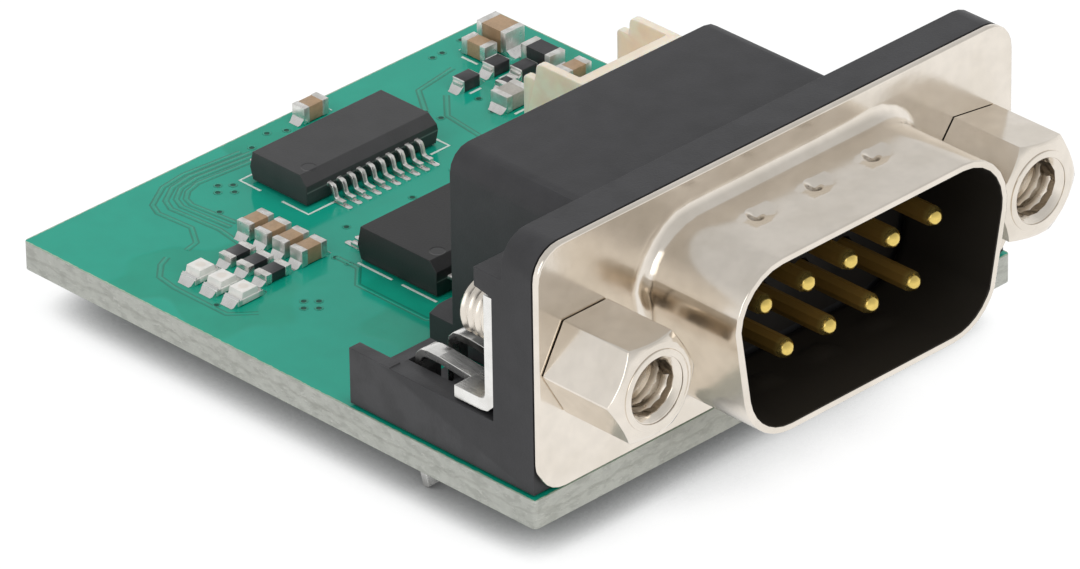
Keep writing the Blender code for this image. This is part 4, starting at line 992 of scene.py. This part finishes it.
SMALL_PARTS = (
    # Solids, body, slot, length of each tinned end in mm, roughness and rounding in mm
    (numbered("row_capacitor", 4), "ceramic", "ceramic_tan", 0.37, 0.35, 0.06),
    (numbered("row_resistor", 3), "glaze", "resistor_black", 0.37, 0.25, 0.03),
    (
        ["edge_capacitor", "bulk_capacitor", "rear_capacitor", "right_capacitor"],
        "ceramic", "ceramic_tan", 0.37, 0.35, 0.06,
    ),
    (numbered("diode", 3), "glaze", "resistor_black", 0.12, 0.4, 0.26),
    (["ferrite_bead"], "glaze", "resistor_black", 0.37, 0.4, 0.08),
    (["rear_resistor"], "glaze", "resistor_black", 0.27, 0.25, 0.03),
    (["chip_inductor"], "ferrite", "inductor_grey", 0.37, 0.4, 0.08),
)
LEDS = numbered("status_led", 3)


class MODULE_OT_chips(bpy.types.Operator):
    """Finishes of the two chips and of every small part on the board"""

    bl_idname = "module.chips"
    bl_label = "Chip and part finishes"

    def execute(self, context):
        metals = context.scene.module_metals
        mouldings = context.scene.module_mouldings
        parts = context.scene.module_parts
        # Chip, width of its body and place of its moulded dot in mm, and how light its epoxy is painted:
        # darker as painted shade on the transceiver, lighter as painted light on the interface chip
        rows = (
            ("transceiver_chip", 5.3, (-4.1, -1.7), 0.6),
            ("interface_chip", 3.9, (-3.4, -1.15), 1.5),
        )
        for node, width, mark, level in rows:
            finish = chip_finish(mouldings, metals, node, width, mark, level)
            dressed(node, finish, 0.03)
        for nodes, body, slot, cap, gloss, rounding in SMALL_PARTS:
            for node in nodes:
                finish = terminal_finish(node, getattr(parts, body), metals, cap, gloss)
                dressed(node, finish, rounding)
        for node in LEDS:
            dressed(node, led_finish(node, parts, metals), 0.05)
        return {"FINISHED"}


# Paths of the tracks and places of the vias on the board, in millimetres from the middle of its front edge
TRACKS = (
    (
        (-2.7, 32.95), (-6.1, 33.3), (-7.6, 33.1), (-9.1, 32.2),
        (-9.45, 31.45), (-9.3, 29.3), (-10.1, 28.1), (-10.9, 27.9),
    ),
    ((-2.4, 32.55), (-6.0, 32.95), (-7.3, 32.75), (-8.4, 32.05), (-8.75, 31.3), (-8.5, 28.2), (-8.75, 26.6)),
    ((-2.2, 32.2), (-5.9, 32.6), (-7.1, 32.4), (-7.95, 31.8), (-8.25, 31.1), (-8.0, 28.0)),
    ((-2.9, 31.9), (-6.2, 32.2), (-7.05, 31.95), (-7.6, 31.5), (-7.8, 30.9), (-7.5, 28.1)),
    ((-11.99, 28.06), (-12.67, 27.76), (-13.5, 26.97), (-13.7, 25.75), (-13.7, 22.2), (-12.6, 21.2)),
    ((-6.5, 22.4), (-6.5, 20.9), (-7.6, 19.8), (-7.6, 15.2), (-6.9, 14.2), (-6.9, 12.6)),
    ((4.9, 24.6), (6.3, 25.9), (6.6, 28.4), (8.0, 29.9)),
    ((6.2, 29.5), (7.4, 31.2), (10.1, 31.6)),
)
VIAS = (
    (-5.69, 31.34), (-5.15, 30.86), (-6.15, 30.85), (-5.56, 30.32), (-7.37, 29.43), (-7.39, 28.07),
    (-10.40, 20.49), (-9.91, 19.98), (-10.85, 20.02), (-10.36, 19.51), (-6.55, 22.37), (-6.52, 21.52),
    (-13.44, 23.14), (0.27, 32.9), (-0.59, 33.36), (-2.06, 32.85), (-0.09, 23.89), (6.24, 28.46),
    (6.14, 29.46), (12.35, 33.35), (10.8, 33.07), (10.15, 33.06), (8.82, 28.53), (8.39, 27.13),
    (13.93, 33.55), (-4.2, 24.1), (3.1, 24.4), (7.4, 23.0),
)


class MODULE_OT_board(bpy.types.Operator):
    """Board finish, raised tracks under the mask, vias and printed outlines"""

    bl_idname = "module.board"
    bl_label = "Board, tracks and print"

    def execute(self, context):
        settings = context.scene.module_board
        dressed("circuit_board", mask_finish(settings), 0.03)
        self.make_tracks(settings)
        self.make_vias(settings)
        self.make_print(settings)
        return {"FINISHED"}

    def make_tracks(self, settings):
        """Each track stands a little above the mask, with a darker gap on each side of it."""
        wide = settings.track_width + 2 * settings.track_gap
        rows = (
            ("track_gaps", wide, 0.012, track_finish("gap_finish", settings.track)),
            ("mask_tracks", settings.track_width, 0.03, track_finish("track_finish", settings.mask)),
        )
        for name, width, height, finish in rows:
            beads = [bead("bead", points, width, height * MM, 0.0) for points in TRACKS]
            settled(joined(beads, name), finish)

    def make_vias(self, settings):
        """Each via is a low rim with a shallow dark dish in it, all above the board's face."""
        hole = settings.via_diameter
        first = disc("via", hole * 1.5, board_point(*VIAS[0], 0.004), 16)
        editing(first)
        bpy.ops.mesh.inset(thickness=hole * 0.1, depth=0.012 * MM)
        bpy.ops.mesh.inset(thickness=hole * 0.14, depth=0.0)
        bpy.ops.mesh.inset(thickness=hole * 0.06, depth=-0.009 * MM)
        done_editing()
        start = board_point(*VIAS[0])
        others = [copied(first, "via", board_point(*place) - start) for place in VIAS[1:]]
        settled(joined([first, *others], "vias"), via_finish(settings))

    def make_print(self, settings):
        """Broken outlines round both chips, and a line on each side of most small parts."""
        lines = [
            ((-2.9, 26.24), (-4.62, 26.24), (-4.62, 28.03)),
            ((3.38, 26.24), (4.62, 26.24), (4.62, 27.2)),
            ((-4.62, 29.5), (-4.62, 30.96), (-3.2, 30.96)),
            ((4.62, 29.9), (4.62, 30.96), (3.5, 30.96)),
            ((-6.17, 21.26), (-6.17, 18.95)),
            ((-6.17, 18.3), (-6.17, 15.98)),
            ((4.27, 21.5), (4.27, 15.98)),
        ]
        for node in ("edge_capacitor", "rear_capacitor", "right_capacitor", "rear_resistor", "chip_inductor"):
            lines += self.brackets(node, 0.24)
        for node in numbered("diode", 3):
            lines += self.brackets(node, 0.2)
        beads = [bead("print", points, settings.ink_width, 0.03 * MM, 0.01) for points in lines]
        settled(joined(beads, "printed_outlines"), ink_finish(settings))

    def brackets(self, node, room):
        """Two lines beside a part, along its body, each a little shorter than the part."""
        centre, half = spread(node)
        x, y = centre.x, centre.y - BOARD_LOW.y / MM
        short = 0.25
        if lies_along_y(node):
            side, end = half.x + room, half.y - short
            return [((x + turn * side, y - end), (x + turn * side, y + end)) for turn in (-1, 1)]
        side, end = half.y + room, half.x - short
        return [((x - end, y + turn * side), (x + end, y + turn * side)) for turn in (-1, 1)]


class MODULE_OT_solder(bpy.types.Operator):
    """Solder under the leads, at the ends of the small parts and round every hole"""

    bl_idname = "module.solder"
    bl_label = "Solder"

    def execute(self, context):
        settings = context.scene.module_solder
        finish = solder_finish(context.scene.module_metals)
        self.make_lead_pads(settings, finish)
        self.make_end_pads(finish)
        self.make_joints(settings, finish)
        return {"FINISHED"}

    def make_lead_pads(self, settings, finish):
        """A row of pads under each side's leads, each reaching beyond its lead's foot."""
        foot = 0.62 * MM
        reach = foot + settings.toe
        # Chip, leads on a side, their pitch and the pads' width in mm
        rows = (("transceiver_chip", 14, 0.65, 0.36), ("interface_chip", 10, 0.635, 0.3))
        for node, count, pitch, width in rows:
            centre, half = spread(node)
            side = half.y * MM + settings.toe - reach / 2
            start = Vector(((centre.x - (count - 1) / 2 * pitch) * MM, centre.y * MM - side, BOARD_HIGH.z))
            first = self.pillow("pad", (width * MM, reach, settings.film), start)
            pads = [first]
            for index in range(count):
                step = Vector((index * pitch * MM, 0, 0))
                if index:
                    pads.append(copied(first, "pad", step))
                pads.append(copied(first, "pad", step + Vector((0, 2 * side, 0)), pi, start))
            settled(joined(pads, f"{node}_solder"), finish)

    def pillow(self, name, size, place):
        """A pad of solder: round corners, soft top and a slope up to the lead's toe."""
        width, reach, film = size
        piece = block(name, (width, reach, film * 2), place)
        editing(piece)
        choose(piece, "EDGE", lambda place, along: abs(along.z) > film)
        bpy.ops.mesh.bevel(offset=width * 0.42, segments=3)
        choose(piece, "FACE", lambda place, normal: normal.z > 0.9)
        bpy.ops.mesh.inset(thickness=width * 0.22, depth=film * 0.35)
        done_editing()
        return piece

    def make_end_pads(self, finish):
        """A slope of solder at both ends of every small part."""
        pieces = []
        for node in [node for row in SMALL_PARTS for node in row[0]] + LEDS:
            centre, half = (value * MM for value in spread(node))
            along_y = lies_along_y(node)
            side, end = (half.x, half.y) if along_y else (half.y, half.x)
            rise = min(half.z * 1.4, 0.42 * MM)
            reach = 0.5 * MM if node == "bulk_capacitor" else 0.34 * MM
            for turn in (0, 1):
                piece = self.fillet("end", side * 1.92, reach, rise, centre, end)
                piece.data.transform(turned(centre, (pi / 2 if along_y else 0.0) + turn * pi))
                pieces.append(piece)
        settled(joined(pieces, "end_solder"), finish, 50)

    def fillet(self, name, width, reach, rise, centre, end):
        """A hollow slope of solder from the end of a part down to its pad, narrower towards its toe."""
        under = 0.12 * MM
        thin = 0.03 * MM
        start = centre.x + end
        place = Vector((start + (reach - under) / 2, centre.y, BOARD_HIGH.z + rise / 2))
        piece = block(name, (reach + under, width, rise), place)
        editing(piece)
        for part in (0.272, 0.48, 0.64):
            bpy.ops.mesh.select_all(action="SELECT")
            bpy.ops.mesh.bisect(plane_co=(start + reach * part, 0, 0), plane_no=(1, 0, 0))
        mesh = bmesh.from_edit_mesh(piece.data)
        for vert in mesh.verts:
            run = max(0.0, (vert.co.x - start) / reach)
            if vert.co.z > BOARD_HIGH.z + rise / 2:
                vert.co.z = BOARD_HIGH.z + thin + (rise - thin) * max(0.0, 1 - run) ** 2.4
            vert.co.y = centre.y + (vert.co.y - centre.y) * (1 - 0.22 * run)
        bmesh.update_edit_mesh(piece.data)
        done_editing()
        return piece

    def make_joints(self, settings, finish):
        """Rings on the board and cones under it, round every tail, header pin and lock leg."""
        spots = []
        for node in numbered("contact_pin", 9):
            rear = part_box(node)[1].y
            spots.append((middle(node).x, rear - 0.3 * MM, 1.0, 0.6))
        for node in numbered("header_pin", 4):
            spots.append((middle(node).x, middle(node).y, 0.85, 0.45))
        for node in ("board_lock_left", "board_lock_right"):
            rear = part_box(node)[1].y
            spots.append((middle(node).x, rear - 0.19 * MM, 3.42, 3.1))
        pieces = []
        for x, y, hole, wire in spots:
            pieces += self.joint((x, y), hole, wire, settings)
        settled(joined(pieces, "hole_solder"), finish, 40)

    def joint(self, spot, hole, wire, settings):
        """A ring over the hole's rim above, and a hollow cone from the land to the wire below."""
        land = (hole / 2 * MM) + settings.land
        clear = 0.004 * MM
        above = disc("ring", land * 2, (*spot, BOARD_HIGH.z + clear), 24)
        editing(above)
        bpy.ops.mesh.inset(thickness=settings.land * 0.2, depth=0.03 * MM)
        bpy.ops.mesh.inset(thickness=settings.land * 0.75, depth=0.0)
        bpy.ops.mesh.delete(type="FACE")
        done_editing()
        under = disc("cone", land * 2, (*spot, BOARD_LOW.z - clear), 24)
        editing(under)
        bpy.ops.mesh.flip_normals()
        steps = ((0.16, 0.2), (0.3, 0.35), (0.5, 0.45)) if wire < 2 else ((0.1, 0.15), (0.14, 0.2))
        run = land - wire / 2 * MM
        for across, down in steps:
            bpy.ops.mesh.inset(thickness=run * across, depth=settings.cone * down)
        done_editing()
        return [above, under]


class MODULE_OT_threads(bpy.types.Operator):
    """Threads in the standoffs' bores and on their shanks behind the locks"""

    bl_idname = "module.threads"
    bl_label = "Threads"

    def execute(self, context):
        settings = context.scene.module_threads
        finish = thread_finish(context.scene.module_metals)
        for side in ("left", "right"):
            node = f"hex_standoff_{side}"
            low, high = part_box(node)
            rows = (
                ("bore", settings.bore_radius, -1, low.y + 0.8 * MM, settings.bore_pitch),
                ("shank", settings.shank_radius, 1, high.y - 3.62 * MM, settings.shank_pitch),
            )
            for name, radius, outward, start, pitch in rows:
                axis = middle(node)
                axis.y = start
                ridge = self.ridge(f"{name}_thread_{side}", axis, radius, outward, pitch, settings)
                settled(ridge, finish, 60)
        return {"FINISHED"}

    def ridge(self, name, axis, radius, outward, pitch, settings):
        """One ridge wound round the axis, outwards or inwards from the radius of its root."""
        root = axis + Vector((radius, 0, 0))
        half = pitch * 0.45
        fresh()
        bpy.ops.mesh.primitive_plane_add(size=half * 2, location=root)
        piece = named(name)
        editing(piece)

        def crest(place, normal):
            return (place.x - root.x) * outward > 0

        def foot(place, normal):
            return (place.x - root.x) * outward < 0

        # The plane becomes the ridge's section: a narrow crest, and a foot just inside the wall
        choose(piece, "VERT", crest)
        bpy.ops.transform.resize(value=(1, 0.16, 1), center_override=root)
        bpy.ops.mesh.select_all(action="SELECT")
        bpy.ops.mesh.delete(type="ONLY_FACE")
        choose(piece, "VERT", crest)
        bpy.ops.transform.translate(value=((settings.depth - half) * outward, 0, 0))
        choose(piece, "VERT", foot)
        bpy.ops.transform.translate(value=((half - 0.03 * MM) * outward, 0, 0))
        done_editing()
        piece.data.transform(Matrix.Translation(-axis))
        with_modifier(
            piece,
            "SCREW",
            axis="Y",
            angle=tau,
            screw_offset=pitch,
            iterations=int(settings.run / pitch),
            steps=settings.steps,
            render_steps=settings.steps,
            use_normal_calculate=True,
        )
        piece.data.transform(Matrix.Translation(axis))
        editing(piece)
        bpy.ops.mesh.select_mode(type="EDGE")
        bpy.ops.mesh.select_all(action="DESELECT")
        bpy.ops.mesh.select_non_manifold(extend=False)
        bpy.ops.mesh.edge_face_add()
        bpy.ops.mesh.select_all(action="SELECT")
        bpy.ops.mesh.normals_make_consistent(inside=False)
        done_editing()
        return piece


class VIEW3D_PT_module(bpy.types.Panel):
    """The module's settings and pieces"""

    bl_label = "Serial adapter module"
    bl_space_type = "VIEW_3D"
    bl_region_type = "UI"
    bl_category = "Module"

    def draw(self, context):
        layout = self.layout
        for group in GROUPS:
            box = layout.box()
            settings = getattr(context.scene, group)
            for name in settings.bl_rna.properties.keys():
                if name not in ("rna_type", "name"):
                    box.prop(settings, name)
        for operator in OPERATORS:
            layout.operator(operator.bl_idname)


GROUPS = {
    "module_stage": StageSettings,
    "module_board": BoardSettings,
    "module_metals": MetalSettings,
    "module_mouldings": MouldingSettings,
    "module_parts": PartSettings,
    "module_solder": SolderSettings,
    "module_threads": ThreadSettings,
}
OPERATORS = (
    MODULE_OT_stage,
    MODULE_OT_board,
    MODULE_OT_connector,
    MODULE_OT_header,
    MODULE_OT_chips,
    MODULE_OT_solder,
    MODULE_OT_threads,
)


def register():
    for group in GROUPS.values():
        bpy.utils.register_class(group)
    for name, group in GROUPS.items():
        setattr(bpy.types.Scene, name, PointerProperty(type=group))
    for operator in OPERATORS:
        bpy.utils.register_class(operator)
    bpy.utils.register_class(VIEW3D_PT_module)


def unregister():
    bpy.utils.unregister_class(VIEW3D_PT_module)
    for operator in reversed(OPERATORS):
        bpy.utils.unregister_class(operator)
    for name, group in GROUPS.items():
        delattr(bpy.types.Scene, name)
        bpy.utils.unregister_class(group)


def main():
    register()
    for make in (
        bpy.ops.module.stage,
        bpy.ops.module.board,
        bpy.ops.module.connector,
        bpy.ops.module.header,
        bpy.ops.module.chips,
        bpy.ops.module.solder,
        bpy.ops.module.threads,
    ):
        make()


if __name__ == "__main__":
    main()
